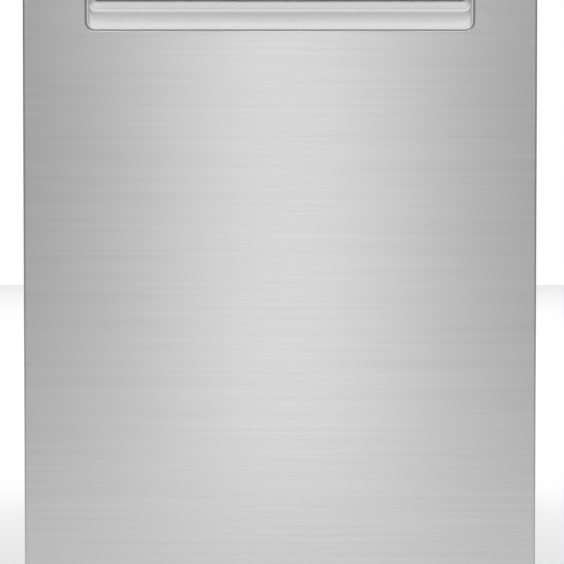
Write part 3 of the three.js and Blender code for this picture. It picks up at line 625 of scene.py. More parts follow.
def stock(scene):
    """Makes every finish once, from the colours in the settings."""
    chosen = scene.dishwasher_finish
    light, dark = darker(chosen.moulding, 1.05), darker(chosen.moulding, 0.92)
    console = darker(chosen.console, 1.25)
    FINISH.update(
        door=(brushed_stainless(chosen.steel, chosen.steel_roughness), "brushed_steel"),
        bright=(bright_stainless(), "tub_steel"),
        zinc=(zinc_plate(), "zinc_steel"),
        enamel=(black_enamel(), "dark_steel"),
        silver=(silver_paint(chosen.plating), "silver_plastic"),
        black=(moulded("black_moulded_abs", console, chosen.console, 0.5 * MM, 0.42), "black_plastic"),
        grey=(moulded("grey_moulded_polypropylene", light, dark, 0.7 * MM, 0.5), "grey_plastic"),
        dark=(moulded("dark_moulded_polypropylene", "#3A3D41", "#2E3134", 0.7 * MM, 0.55), "grey_plastic"),
        white=(moulded("white_moulded_polypropylene", "#E4E4E0", "#D2D3D0", 0.7 * MM, 0.48), "white_plastic"),
        rubber=(seal_rubber(), "rubber"),
        nylon=(nylon_coat(chosen.coating), "rack_coat"),
        felt=(needled_felt(), "felt"),
        mesh=(filter_mesh(), "tub_steel"),
        brass=(brass(), "zinc_steel"),
        window=(smoked_window(), "black_plastic"),
        lit=(lit_segment(), "white_plastic"),
        lens=(clear_lens(), "grey_plastic"),
        paper=(studio_paper(scene.dishwasher_stage.floor), None),
    )


# ------------------------------------------------------------------ door


FLANGE = 8 * MM  # the handle moulding's flange reaches this far behind the door's sheet
OPENING_CORNER = 10.5 * MM  # radius of the handle opening's corners
PADDLE_PIN = 1.8 * MM  # radius of the latch paddle's pin
FACE = float(limits("door_skin")[0][1])  # the door's front plane
LINER_MARGIN = float(limits("tub_gasket")[0][1]) - 0.4 * MM  # the liner's flat margin


def pocket():
    """The handle's opening in the door's face: half width, height of its middle and half height."""
    low, high = limits("pocket_handle")
    bottom, top = low[2] + FLANGE, high[2] - FLANGE - 1 * MM
    return high[0] - FLANGE, (bottom + top) / 2, (top - bottom) / 2


def door_sheet(bend):
    """The door's outer sheet as one run of outlines.

    It starts at the back of the side folds, turns a quarter circle onto the face, shrinks in straight lines to the
    handle's opening and turns a smaller quarter circle into it. Along the top the fold stops after 8 mm.
    """
    low, high = limits("door_skin")
    half_u, half_v, middle = high[0], (high[2] - low[2]) / 2, (low[2] + high[2]) / 2
    notch = 5 * MM / (2 * half_v)
    run = (notch * 0.95, notch * 1.1, 0.5, 1 - notch * 1.1, 1 - notch * 0.95)
    turn = np.linspace(0, math.pi / 2, 7)
    ring = partial(upright, run=run)
    loops = [ring(half_u, half_v, bend, high[1], middle)]
    for pull, back in zip(bend * (1 - np.cos(turn)), bend * (1 - np.sin(turn))):
        loops.append(ring(half_u - pull, half_v - pull, bend * 1.2 - pull, FACE + back, middle))
    support = bend + 0.5 * MM
    outer = ring(half_u - support, half_v - support, 0.3 * MM, FACE, middle)
    width, centre, height = pocket()
    roll = 1.0 * MM
    corner = OPENING_CORNER
    support = roll + 0.5 * MM
    inner = ring(width + support, height + support, corner + support, FACE, centre)
    loops += [outer * (1 - t) + inner * t for t in np.linspace(0, 1, 6)]
    for pull, back in zip(roll * np.cos(turn), roll * (1 - np.cos(math.pi / 2 - turn))):
        loops.append(ring(width + pull, height + pull, corner + pull, FACE + back, centre))
    loops.append(ring(width, height, corner, FACE + 2.8 * MM, centre))
    loops = np.array(loops)
    top = loops[..., 2] > high[2] - 5 * MM
    loops[..., 1] = np.where(top, np.minimum(loops[..., 1], FACE + 8 * MM), loops[..., 1])
    return facing(loft(loops, closed=False), (0, -1, 0))


def recess():
    """The handle moulding as one closed run of outlines, from its back along its outside to the lip and in again.

    Inside, a scooped wall climbs from the lip, leans out a little and folds back into a sloping ledge. The ends taper,
    and the roof steps up behind the lip to make room for fingertips.
    """
    back = limits("pocket_handle")[1][1]
    width, centre, height = pocket()
    bottom, top = centre - height, centre + height
    corner, seam, rim = OPENING_CORNER, 1.0 * MM, 2.4 * MM
    lip = FACE + 0.5 * MM
    wall = FACE + 28.6 * MM

    def ring(y, half, z_low, z_high, radius):
        return upright(half, (z_high - z_low) / 2, radius, y, (z_low + z_high) / 2, 7)

    loops = [
        ring(back, width + 2 * MM, bottom - 3 * MM, top + 9 * MM, 4 * MM),
        ring(FACE + 5.0 * MM, width + 2 * MM, bottom - 3 * MM, top + 9 * MM, 4 * MM),
        ring(FACE + 5.0 * MM, width + FLANGE, bottom - FLANGE, top + FLANGE, 6 * MM),
        ring(FACE + 4.2 * MM, width + FLANGE, bottom - FLANGE, top + FLANGE, 6 * MM),
        ring(FACE + 4.2 * MM, width - seam, bottom + seam, top - seam, corner - seam),
    ]
    edge = 0.7 * MM
    for angle in np.linspace(0, math.pi, 9):
        pull = seam + (rim - seam) / 2 * (1 - math.cos(angle))
        y = lip + edge * (1 - math.sin(angle))
        loops.append(ring(y, width - pull, bottom + pull, top - pull, corner - pull))
    scoop_y = [3.0, 5.6, 7.6, 8.6, 8.9, 8.6, 7.8, 6.6, 5.6]
    scoop_z = [2.4, 4.2, 6.4, 9.0, 12.0, 15.0, 18.0, 20.5, 22.3]
    brow_y = [5.6, 6.2, 8.0, 11.0, 16.4, 20.4, 22.6, 23.4, 28.6]
    brow_z = [23.6, 24.6, 25.7, 27.2, 30.4, 33.0, 35.0, 34.2, 34.2]
    line_y, line_z = FACE + np.array(scoop_y + brow_y) * MM, bottom + np.array(scoop_z + brow_z) * MM
    draft = 11 / 35
    half = width - rim - (line_y - FACE - 1.2 * MM) * draft
    hood = FACE + 7 * MM
    ceiling = np.where(line_y < hood, top - rim, top + 6 * MM)
    radius = np.interp(line_y, [FACE, wall], [corner - rim, 4 * MM])
    for index, y in enumerate(line_y):
        if index and ceiling[index] != ceiling[index - 1]:
            loops.append(ring(y, half[index], line_z[index], ceiling[index - 1], radius[index]))
        loops.append(ring(y, half[index], line_z[index], ceiling[index], radius[index]))
    loops.append(ring(wall + 0.4 * MM, half[-1] - 1.5 * MM, line_z[-1] + 1.2 * MM, ceiling[-1] - 1.5 * MM, 3 * MM))
    return loft(np.array(loops))


def paddle_lugs():
    """The two ears that carry the latch paddle's pin."""
    _, high = limits("latch_paddle")
    pin, front, back = high[2] - PADDLE_PIN, FACE + 22 * MM, FACE + 30 * MM
    parts = []
    for _, s in SIDES:
        near, far = across(s, high[0] - 3 * MM, high[0])
        parts.append(block((near, front, pin - 4 * MM), (far, back, pin + 4.5 * MM), "x", 2 * MM, 0.5 * MM))
    return parts


class DISHWASHER_OT_door_panel(bpy.types.Operator):
    """Folds the brushed door sheet round the handle's opening"""

    bl_idname = "dishwasher.door_panel"
    bl_label = "Door panel"

    def execute(self, context):
        bend = context.scene.dishwasher_detail.bend
        piece("door_panel", [door_sheet(bend)], "door", "door", ("door_skin",), wall=GAUGE)
        return {"FINISHED"}


class DISHWASHER_OT_handle(bpy.types.Operator):
    """Moulds the handle recess and hangs the latch paddle in it"""

    bl_idname = "dishwasher.handle"
    bl_label = "Pocket handle"

    def execute(self, context):
        piece("handle_recess", [recess()] + paddle_lugs(), "silver", "door", ("pocket_handle",))
        low, high = limits("latch_paddle")
        half, pin = high[0] - 4 * MM, high[2] - PADDLE_PIN
        front, back = low[1] + 0.3 * MM, high[1] - 0.3 * MM
        plate = block((-half, front, low[2]), (half, back, pin), "y", 5 * MM, 1.3 * MM, 5, 8)
        half -= 6 * MM
        corners = (-half, low[1], low[2] + 3 * MM), (half, low[1] + 1 * MM, low[2] + 6 * MM)
        grip = block(*corners, "y", 1.5 * MM, 0.4 * MM)
        pin_line = rod(PADDLE_PIN, low[0], high[0], 0.4 * MM, 0.3 * MM)
        barrel = turned(pin_line, (0, (low[1] + high[1]) / 2, pin), "x", 20)
        piece("latch_paddle_plate", [plate, grip, barrel], "silver", "latch_paddle", ("latch_paddle",))
        return {"FINISHED"}


BUTTONS = ("power_button", "cycle_button", "options_button", "delay_button", "start_button")
DISPLAY_Y = -0.290  # the display's middle line on the door's top edge
DISPLAY_BARS = (0.046, 0.062, 0.080, 0.096, 0.112)  # each bar's left end


class DISHWASHER_OT_console(bpy.types.Operator):
    """Builds the control housing, its buttons and display, and the latch hook"""

    bl_idname = "dishwasher.console"
    bl_label = "Control console"

    def execute(self, context):
        eased("control_console", "console_housing", "black", "door", 0.8 * MM)
        top = limits("control_console")[1][2]
        front, back = DISPLAY_Y - 7.7 * MM, DISPLAY_Y + 7.7 * MM
        corners = (0.0303, front, top - 0.95 * MM), (0.1297, back, top - 0.2 * MM)
        piece("display_window", [block(*corners, "z", 1.5 * MM, 0.2 * MM)], "window", "door")
        bars, front, back = [], DISPLAY_Y - 1.5 * MM, DISPLAY_Y + 1.5 * MM
        for x in DISPLAY_BARS:
            corners = (x, front, top - 0.3 * MM), (x + 8 * MM, back, top - 0.12 * MM)
            bars.append(block(*corners, "z", 1 * MM, 0.05 * MM))
        piece("display_bars", bars, "lit", "door")
        for name in BUTTONS:
            low, high = limits(name)
            x, y, _ = (low + high) / 2
            cap = block(low, high, "z", 2.2 * MM, 0.9 * MM, 5, 6)
            pip = turned(in_mm([(1.6, -0.4), (1.6, 0), (1.2, 0.3)], high[2]), (x, y, 0), "z", 20)
            piece(name + "_cap", [cap, pip], "silver", name, (name,))
        eased("latch_hook", "latch_hook_plate", "zinc", "latch_hook", 0.4 * MM)
        return {"FINISHED"}


def liner_sheet():
    """The liner as one run of outlines: side folds, a flat margin, a raised field and a panel sunk in the field.

    The field's side is a half wave of 12 mm rise, and the panel's outline changes evenly from the field's to the
    dispenser hole's. Below 152 mm the sheet is narrower, to clear the hinges.
    """
    low, high = limits("inner_door")
    plate_low, plate_high = limits("dispenser_body")
    half_u, half_v, middle = high[0], (high[2] - low[2]) / 2, (low[2] + high[2]) / 2
    ankle, hinge_room = 0.152, 0.284  # height and half width of the narrow part
    shoulder = limits("control_console")[0][2] - 0.4 * MM
    tall = 2 * half_v
    steps = [(high[2] - shoulder) / tall, (ankle - low[2]) / tall]
    near = [f + e for f in steps for e in (-0.0046, -0.0034)]
    run = tuple(sorted(near + [0.25, 0.5, 0.75] + [1 - f for f in near]))
    field_low, field_high, field_half = 0.178, 0.822, 0.262  # the raised field's lower and upper edge and half width
    field_middle = (field_low + field_high) / 2
    hole = (plate_low[0] + 9 * MM, plate_low[2] + 9 * MM, plate_high[2] - 9 * MM)
    ring = partial(upright, run=run)
    bend = 1.6 * MM
    turn = np.linspace(0, math.pi / 2, 5)
    loops = [ring(half_u, half_v, 3 * MM, low[1], middle)]
    for pull, back in zip(bend * (1 - np.cos(turn)), bend * (1 - np.sin(turn))):
        loops.append(ring(half_u - pull, half_v - pull, 3 * MM, LINER_MARGIN - back, middle))
    loops.append(ring(half_u - bend - 0.5 * MM, half_v - bend - 0.5 * MM, 3 * MM, LINER_MARGIN, middle))
    tall = (field_high - field_low) / 2
    rise = high[1] - LINER_MARGIN
    loops.append(ring(field_half + 0.6 * MM, tall + 0.6 * MM, 24 * MM, LINER_MARGIN, field_middle))
    for t in np.linspace(0, 1, 9):
        lift = rise * (1 - math.cos(math.pi * t)) / 2
        pull = 12 * MM * t
        loops.append(ring(field_half - pull, tall - pull, 24 * MM - pull * 0.5, LINER_MARGIN + lift, field_middle))
    outer = ring(field_half - 13 * MM, tall - 13 * MM, 18 * MM, high[1], field_middle)
    inner = ring(-hole[0], (hole[2] - hole[1]) / 2, 5 * MM, high[1], (hole[1] + hole[2]) / 2)
    share = (0, 0.12, 0.13, 0.15, 0.16, 0.72, 0.73, 0.75, 0.76, 1)
    for t, sink in zip(share, (0, 0, 0.15, 0.85, 1, 1, 0.85, 0.15, 0, 0)):
        flat = outer * (1 - t) + inner * t
        flat[:, 1] = high[1] - 2.2 * MM * sink
        loops.append(flat)
    fold = inner.copy()
    fold[:, 1] = high[1] - 6 * MM
    loops = np.array(loops + [fold])
    x, y, z = loops[..., 0], loops[..., 1], loops[..., 2]
    folded = (z > ankle) & (z < shoulder)
    loops[..., 1] = np.where(folded, y, np.maximum(y, LINER_MARGIN - bend))
    loops[..., 0] = np.where(z < ankle, np.clip(x, -hinge_room, hinge_room), x)
    return facing(loft(loops, closed=False), (0, 1, 0))


def liner_screws():
    """Screws down both margins of the liner and along its top."""
    top, edge = limits("inner_door")[1][2] - 4 * MM, 0.2962
    places = [(s * edge, z) for z in (0.19, 0.34, 0.5, 0.66, 0.8) for _, s in SIDES]
    places += [(x, top) for x in (-0.24, -0.08, 0.08, 0.24)]
    return [screw((x, LINER_MARGIN, z), "y", 1, 2.6 * MM) for x, z in places]


def ring_round(profile, half_u, half_v, radius, middle, corner=8):
    """A closed profile of (distance outwards, depth) carried round a rounded rectangle."""
    loops = [upright(half_u + out, half_v + out, radius + out, y, middle, corner) for out, y in profile]
    return outward(grid(np.array(loops), around_rows=True, around_columns=True))


def arc(centre, radius, first, last, steps):
    """Points (u, v) on a circle from one angle to another, in degrees."""
    angle = np.radians(np.linspace(first, last, steps))
    return np.stack([centre[0] + radius * np.cos(angle), centre[1] + radius * np.sin(angle)], axis=-1)


class DISHWASHER_OT_liner(bpy.types.Operator):
    """Presses the door's steel liner and fits the dispenser and the hinge arms"""

    bl_idname = "dishwasher.liner"
    bl_label = "Inner door"

    def execute(self, context):
        piece("door_liner", [liner_sheet()], "bright", "door", ("inner_door",), wall=0.8 * MM)
        piece("liner_screws", liner_screws(), "zinc", "door")
        eased("dispenser_body", "dispenser_housing", "grey", "door", 1.4 * MM)
        low, high = limits("dispenser_lid")
        leaf = high[1] - 3 * MM
        lid = block(low, (high[0], leaf, high[2]), "y", 6 * MM, 1.1 * MM, 5, 8)
        under = leaf - 0.4 * MM
        corners = (-0.051, under, low[2] + 4 * MM), (-0.019, high[1], low[2] + 10 * MM)
        ridge = block(*corners, "y", 3 * MM, 1 * MM)
        ribs = []
        for x in np.linspace(low[0] + 10 * MM, high[0] - 12 * MM, 7):
            corners = (x, under, low[2] + 20 * MM), (x + 2 * MM, leaf + 0.7 * MM, high[2] - 12 * MM)
            ribs.append(block(*corners, "y", 1 * MM, 0.5 * MM))
        piece("detergent_lid", [lid, ridge] + ribs, "grey", "dispenser_lid", ("dispenser_lid",))
        low, high = limits("rinse_aid_cap")
        middle = (low + high) / 2
        radius, disc = high[0] - middle[0], high[1] - 5 * MM
        angle = np.linspace(0, 2 * math.pi, 72, endpoint=False)
        knurl = radius * (1 - 0.03 * (1 + np.cos(24 * angle)) / 2)
        loops = []
        for share, y in ((0.93, low[1]), (1.0, low[1] + 0.6 * MM), (1.0, disc - 1 * MM), (0.95, disc)):
            circle = np.stack([knurl * share * np.cos(angle), knurl * share * np.sin(angle)], axis=-1)
            loops.append(raised(circle + [middle[0], middle[2]], y, "y"))
        cap = loft(np.array(loops))
        x, z = middle[0], middle[2]
        corners = (x - 15 * MM, disc - 1 * MM, z - 3 * MM), (x + 15 * MM, high[1], z + 3 * MM)
        bar = block(*corners, "y", 2.8 * MM, 1 * MM)
        piece("rinse_cap", [cap, bar], "dark", "rinse_aid_cap", ("rinse_aid_cap",))
        plate = limits("dispenser_body")[1][1]
        dome = in_mm([(6, -0.5), (6, 0.3), (4.5, 0.9), (2, 1.2)], plate)
        lens = turned(dome, (0.048, 0, 0.532), "y", 32)
        piece("rinse_level_lens", [lens], "lens", "door")
        for word, _ in SIDES:
            name = "hinge_arm_" + word
            eased(name, name + "_plate", "zinc", "door", 0.4 * MM)
        return {"FINISHED"}


# ------------------------------------------------------------------ tub


TUB_HALF = float(limits("outer_rail_right")[1][0]) + 0.4 * MM
TUB_FLOOR = float(limits("float")[0][2]) - 0.4 * MM
TUB_CEILING = float(limits("strike_plate")[0][2]) - 1.4 * MM
TUB_BACK = float(limits("tub")[1][1]) - SHEET
SPRAY_Y = float(sum(corner[1] for corner in limits("top_spray_arm"))) / 2


def wave(value, centre, half):
    """One smooth bump: half a cosine wave round a centre, and nothing further than half away."""
    return np.where(np.abs(value - centre) < half, (1 + np.cos(math.pi * (value - centre) / half)) / 2, 0.0)


def tub_shell():
    """The drawn tub as one run of outlines from its flange through the mouth to the middle of the back wall.

    The walls bulge outwards by up to 1.3 mm in pressed ribs, each the product of a bump across the rib and a fade
    at its ends. Faces over the sump are left out.
    """
    low, high = limits("tub")
    half_v, middle = (TUB_CEILING - TUB_FLOOR) / 2, (TUB_CEILING + TUB_FLOOR) / 2
    flange_v, flange_middle = (high[2] - low[2]) / 2, (high[2] + low[2]) / 2
    front, corner = low[1], 25 * MM
    run = tuple(np.linspace(0, 1, 46)[1:-1])
    ring = partial(upright, corner=8, run=run)
    loops = [
        ring(high[0], flange_v, 14 * MM, front + 1.8 * MM, flange_middle),
        ring(high[0], flange_v, 14 * MM, front + 0.8 * MM, flange_middle),
        ring(high[0] - 0.7 * MM, flange_v - 0.7 * MM, 14 * MM, front + 0.1 * MM, flange_middle),
        ring(high[0] - 1.4 * MM, flange_v - 1.4 * MM, 14 * MM, front, flange_middle),
    ]
    mouth = 3 * MM
    for angle in np.linspace(0, math.pi / 2, 5):
        pull, back = mouth * (1 - math.sin(angle)), mouth * (1 - math.cos(angle))
        loops.append(ring(TUB_HALF + pull, half_v + pull, corner + pull, front + back, middle))
    round_back = 22 * MM
    for y in np.linspace(front + 2 * mouth, TUB_BACK - round_back, 56):
        loops.append(ring(TUB_HALF, half_v, corner, y, middle))
    for angle in np.linspace(0, math.pi / 2, 7)[1:]:
        pull = round_back * (1 - math.cos(angle))
        back = TUB_BACK - round_back * (1 - math.sin(angle))
        loops.append(ring(TUB_HALF - pull, half_v - pull, max(corner - pull, 3 * MM), back, middle))
    edge = loops[-1]
    for share in np.linspace(1, 0.04, 26)[1:]:
        flat = edge.copy()
        flat[:, 0] *= share
        flat[:, 2] = middle + (edge[:, 2] - middle) * share
        loops.append(flat)
    loops = np.array(loops)
    x, y, z = loops[..., 0].copy(), loops[..., 1].copy(), loops[..., 2].copy()
    inside = wave(y, (front + TUB_BACK) / 2, (TUB_BACK - front) / 2 - 30 * MM) ** 0.3
    side = np.abs(x) > TUB_HALF - 0.5 * MM
    for height in (0.30, 0.42, 0.66, 0.74):
        bulge = 1.3 * MM * wave(z, height, 20 * MM) * inside
        loops[..., 0] += np.where(side, np.sign(x) * bulge, 0)
    roof = z > TUB_CEILING - 0.5 * MM
    ground = z < TUB_FLOOR + 0.5 * MM
    for place in (-0.17, 0.17):
        bulge = 1.2 * MM * wave(x, place, 24 * MM) * inside
        loops[..., 2] += np.where(roof, bulge, 0) - np.where(ground, bulge, 0)
    behind = y > TUB_BACK - 0.2 * MM
    for place in (-0.18, -0.09, 0.09, 0.18):
        bulge = 0.7 * MM * wave(x, place, 22 * MM) * wave(z, middle, half_v - 60 * MM) ** 0.3
        loops[..., 1] += np.where(behind, bulge, 0)
    quad = (loops[:-1] + loops[1:]) / 2
    quad = (quad + np.roll(quad, -1, axis=1)) / 2
    sump = np.hypot(quad[..., 0], quad[..., 1] - SPRAY_Y) < 0.1
    keep = ~(sump & (quad[..., 2] < TUB_FLOOR + 5 * MM))
    points, faces = grid(loops, keep=keep, around_columns=True)
    count = loops.shape[1]
    last = len(points) - count + np.arange(count)
    pole = np.full(count, len(points))
    fan = np.stack([last, np.roll(last, -1), pole], axis=-1)
    points = np.concatenate([points, points[last].mean(axis=0, keepdims=True)])
    return facing((points, faces + [fan]), (0, -1, 0))


class DISHWASHER_OT_tub(bpy.types.Operator):
    """Draws the tub and fits its seal, rails, catch and worktop brackets"""

    bl_idname = "dishwasher.tub"
    bl_label = "Tub"

    def execute(self, context):
        piece("tub_shell", [tub_shell()], "bright", "cabinet", ("tub",), wall=GAUGE)
        rim = [(94, -0.6), (94.5, 0.9), (96.5, 1.5), (108, 1.5), (110.5, 0.9), (111, 0.1), (111, -0.6)]
        piece("sump_rim", [hoop(in_mm(rim, TUB_FLOOR), (0, SPRAY_Y, 0), "z", 96)], "bright", "cabinet")
        low, high = limits("tub_gasket")
        half_u, half_v = high[0] - 10 * MM, (high[2] - low[2]) / 2 - 10 * MM
        bulb = arc((5 * MM, low[1] + 4 * MM), 4 * MM, 200, 340, 12)
        profile = [tuple(p) for p in bulb] + in_mm([(8, 5.4), (6.6, 6.4)], low[1])
        profile += in_mm([(9, -2), (9.6, 0), (0.6, 0), (1.2, -2)], high[1]) + in_mm([(3.2, 6.4), (1.4, 5)], low[1])
        seal = ring_round(profile, half_u, half_v, 6 * MM, (low[2] + high[2]) / 2)
        piece("door_seal", [seal], "rubber", "cabinet", ("tub_gasket",))
        eased("strike_plate", "strike_catch", "zinc", "cabinet", 0.4 * MM)
        for word, _ in SIDES:
            eased("outer_rail_" + word, "tub_rail_" + word, "bright", "cabinet", 0.5 * MM)
            eased("middle_rail_" + word, "telescope_rail_" + word, "zinc", "middle_rails", 0.5 * MM)
            eased("counter_bracket_" + word, "worktop_tab_" + word, "zinc", "cabinet", 0.3 * MM)
        return {"FINISHED"}


def blanket_quilt(pitch):
    """The quilted blanket as a closed sleeve: a flat loop of felt carried round the tub, crossing it from y to y.

    The path runs up one side, over a rounded shoulder, across and down. The felt's outer face stands off by its
    thickness times the square root of two sine arches, so it pulls in along a square net of bonded lines.
    """
    low, high = limits("insulation_blanket")
    thick, near, bottom = 11.4 * MM, 2.6 * MM, low[2]
    shoulder = 34 * MM
    x, top = TUB_HALF + near, high[2] - thick
    legs = [
        np.stack([np.full(60, -x), np.linspace(bottom, top - shoulder, 60)], axis=-1),
        arc((-x + shoulder, top - shoulder), shoulder, 180, 90, 9)[1:],
        np.stack([np.linspace(-x + shoulder, x - shoulder, 56), np.full(56, top)], axis=-1)[1:],
        arc((x - shoulder, top - shoulder), shoulder, 90, 0, 9)[1:],
        np.stack([np.full(60, x), np.linspace(top - shoulder, bottom, 60)], axis=-1)[1:],
    ]
    inner = np.concatenate(legs)
    step = np.gradient(inner, axis=0)
    step /= np.linalg.norm(step, axis=1, keepdims=True)
    normal = np.stack([-step[:, 1], step[:, 0]], axis=-1)
    travel = np.concatenate([[0], np.cumsum(np.linalg.norm(np.diff(inner, axis=0), axis=1))])
    ys = np.linspace(low[1], high[1], 58)
    across = np.abs(np.sin(math.pi * travel / pitch))[None, :]
    along = np.abs(np.sin(math.pi * (ys - low[1]) / pitch))[:, None]
    ends = np.minimum(1, np.minimum(travel, travel[-1] - travel) / (8 * MM))[None, :]
    edge = np.minimum(1, np.minimum(ys - low[1], high[1] - ys) / (8 * MM))[:, None]
    swell = (0.42 + 0.58 * np.sqrt(across * along)) * np.sqrt(np.clip(0.12 + 0.88 * np.minimum(ends, edge), 0, 1))
    outer = inner[None] + normal[None] * (thick * swell)[..., None]
    sleeve = np.concatenate([outer, np.broadcast_to(inner[::-1], (len(ys), *inner.shape))], axis=1)
    loops = np.empty((*sleeve.shape[:2], 3))
    loops[..., 0], loops[..., 1], loops[..., 2] = sleeve[..., 0], ys[:, None], sleeve[..., 1]
    notch = -0.214  # the felt stops here behind the catch
    catch = (np.abs(loops[..., 0]) < 40 * MM) & (loops[..., 1] < notch)
    loops[..., 1] = np.where(catch, notch + (loops[..., 1] - notch) * 0.02, loops[..., 1])
    return loft(loops)


class DISHWASHER_OT_blanket(bpy.types.Operator):
    """Wraps the quilted felt blanket over the tub"""

    bl_idname = "dishwasher.blanket"
    bl_label = "Insulation blanket"

    def execute(self, context):
        quilt = blanket_quilt(context.scene.dishwasher_detail.quilt)
        made = piece("quilted_blanket", [quilt], "felt", "cabinet", ("insulation_blanket",))
        return {"FINISHED"}


# ------------------------------------------------------------------ chassis


def spring_wire(x, turns):
    """One balance spring: a helix about a line along Y whose first and last turns draw in to a quarter of its radius.
    """
    low, high = limits("door_spring_right")
    wire, z = 1.1 * MM, (low[2] + high[2]) / 2
    t = np.linspace(0, turns, turns * 14 + 1)
    radius = (high[2] - low[2]) / 2 - wire
    taper = np.clip(np.minimum(t, turns - t) / 1.2, 0.25, 1)
    angle = 2 * math.pi * t
    y = high[1] - wire - (high[1] - low[1] - 2 * wire) * t / turns
    path = np.stack([x + radius * taper * np.cos(angle), y, z + radius * taper * np.sin(angle)], axis=-1)
    return tube(path, wire, 6, (0, 1, 0))


def levelling_foot(low, high):
    """A foot's pad, hexagon and threaded stem as solids of revolution; the thread is a row of small cones."""
    x, y = (low[0] + high[0]) / 2, (low[1] + high[1]) / 2
    pad = [(13.5, 0), (14.8, 0.6), (15, 1.4), (15, 2.6), (14.2, 3.4), (9.5, 5.6), (8, 6)]
    turn = ((4.3, 0), (5.0, 0.5), (5.0, 0.8), (4.3, 1.3))
    thread = [(4.2, 11)] + [(r, z + d) for z in np.arange(12.5, 49, 1.5) for r, d in turn] + [(3.6, 50)]
    nut_angle = np.linspace(0, 2 * math.pi, 6, endpoint=False)
    nut = np.stack([np.cos(nut_angle), np.sin(nut_angle)], axis=-1)
    loops = [raised(nut * r * MM + [x, y], z * MM, "z") for r, z in ((7.4, 5.6), (8, 6.2), (8, 11.4), (7.4, 12))]
    foot, stem = turned(in_mm(pad), (x, y, 0), "z", 40), turned(in_mm(thread), (x, y, 0), "z", 20)
    return [foot, loft(np.array(loops)), stem]


class DISHWASHER_OT_chassis(bpy.types.Operator):
    """Builds the base frame, toe kick, hinges, balance springs and levelling feet"""

    bl_idname = "dishwasher.chassis"
    bl_label = "Chassis"

    def execute(self, context):
        eased("base_frame", "base_ring", "enamel", "cabinet", 0.8 * MM)
        eased("toe_kick", "toe_panel", "enamel", "cabinet", 0.3 * MM)
        front = limits("toe_kick")[0][1]
        heads = [screw((x, front, z), "y", -1, 4 * MM) for x in (-0.27, 0.27) for z in (0.043, 0.088)]
        piece("toe_screws", heads, "zinc", "cabinet")
        turns = context.scene.dishwasher_detail.turns
        for word, _ in SIDES:
            eased("hinge_bracket_" + word, "hinge_plate_" + word, "zinc", "cabinet", 0.4 * MM)
            eased("spring_link_" + word, "spring_strap_" + word, "zinc", "spring_links", 0.3 * MM)
            low, high = limits("door_spring_" + word)
            middle = (low + high) / 2
            wire = spring_wire(middle[0], turns)
            coil = piece("balance_spring_" + word, [wire], "zinc", None, ("door_spring_" + word,))
            hook, pull = (middle[0], high[1], middle[2]), (middle[0], low[1], middle[2])
            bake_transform(coil)
            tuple(hook)
            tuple(pull)
            for end in ("front", "rear"):
                name = "foot_" + end + "_" + word
                parts = levelling_foot(*limits(name))
                piece(name + "_screw", parts, "black", name, (name,))
        return {"FINISHED"}


# ------------------------------------------------------------------ water system


WASH_PUMP = (0.112, 38 * MM)  # the height of its axis and the radius of its can
DRAIN_PUMP = (0.110, 30 * MM)
INLET_LINE = (-0.225, -0.184, 0)  # the inlet valve's upright middle line
FLOAT_LINE = (-0.2, -0.2, 0)  # the float's


def banded(axis_z, radius, places):
    """Raised bands round a can that lies along X behind the spray arms' line: short closed rings at places on it."""
    half, rise = 2 * MM, 0.9 * MM
    section = ((-1 * MM, 1), (rise * 0.6, 1), (rise, 0.6))
    parts = []
    for place in places:
        profile = [(radius + out, place - half * share) for out, share in section]
        profile += [(radius + out, place + half * share) for out, share in section[::-1]]
        parts.append(hoop(profile, (0, SPRAY_Y, axis_z), "x", 48))
    return parts


def coarse_cup():
    """The coarse filter: a tapering cup with a rolled collar and a finger grip across it."""
    low, high = limits("coarse_filter")
    x, y = (low[0] + high[0]) / 2, (low[1] + high[1]) / 2
    outside = [(0.5, 100), (27, 100), (28, 101), (31, 162.5), (37.5, 162.9), (39, 163.6), (39, 165.2)]
    inside = [(38, 166), (29, 166), (28, 165), (25.4, 105), (24.5, 104), (0.5, 104)]
    cup = turned(in_mm(outside + inside), (x, y, 0), "z", 64)
    reach = 28.5 * MM
    grip = block((x - reach, y - 3 * MM, 0.161), (x + reach, y + 3 * MM, high[2]), "x", 2.6 * MM, 1.2 * MM)
    cross = block((x - 3 * MM, y - reach, 0.157), (x + 3 * MM, y + reach, 0.166), "y", 1.4 * MM, 0.8 * MM)
    return [cup, grip, cross]


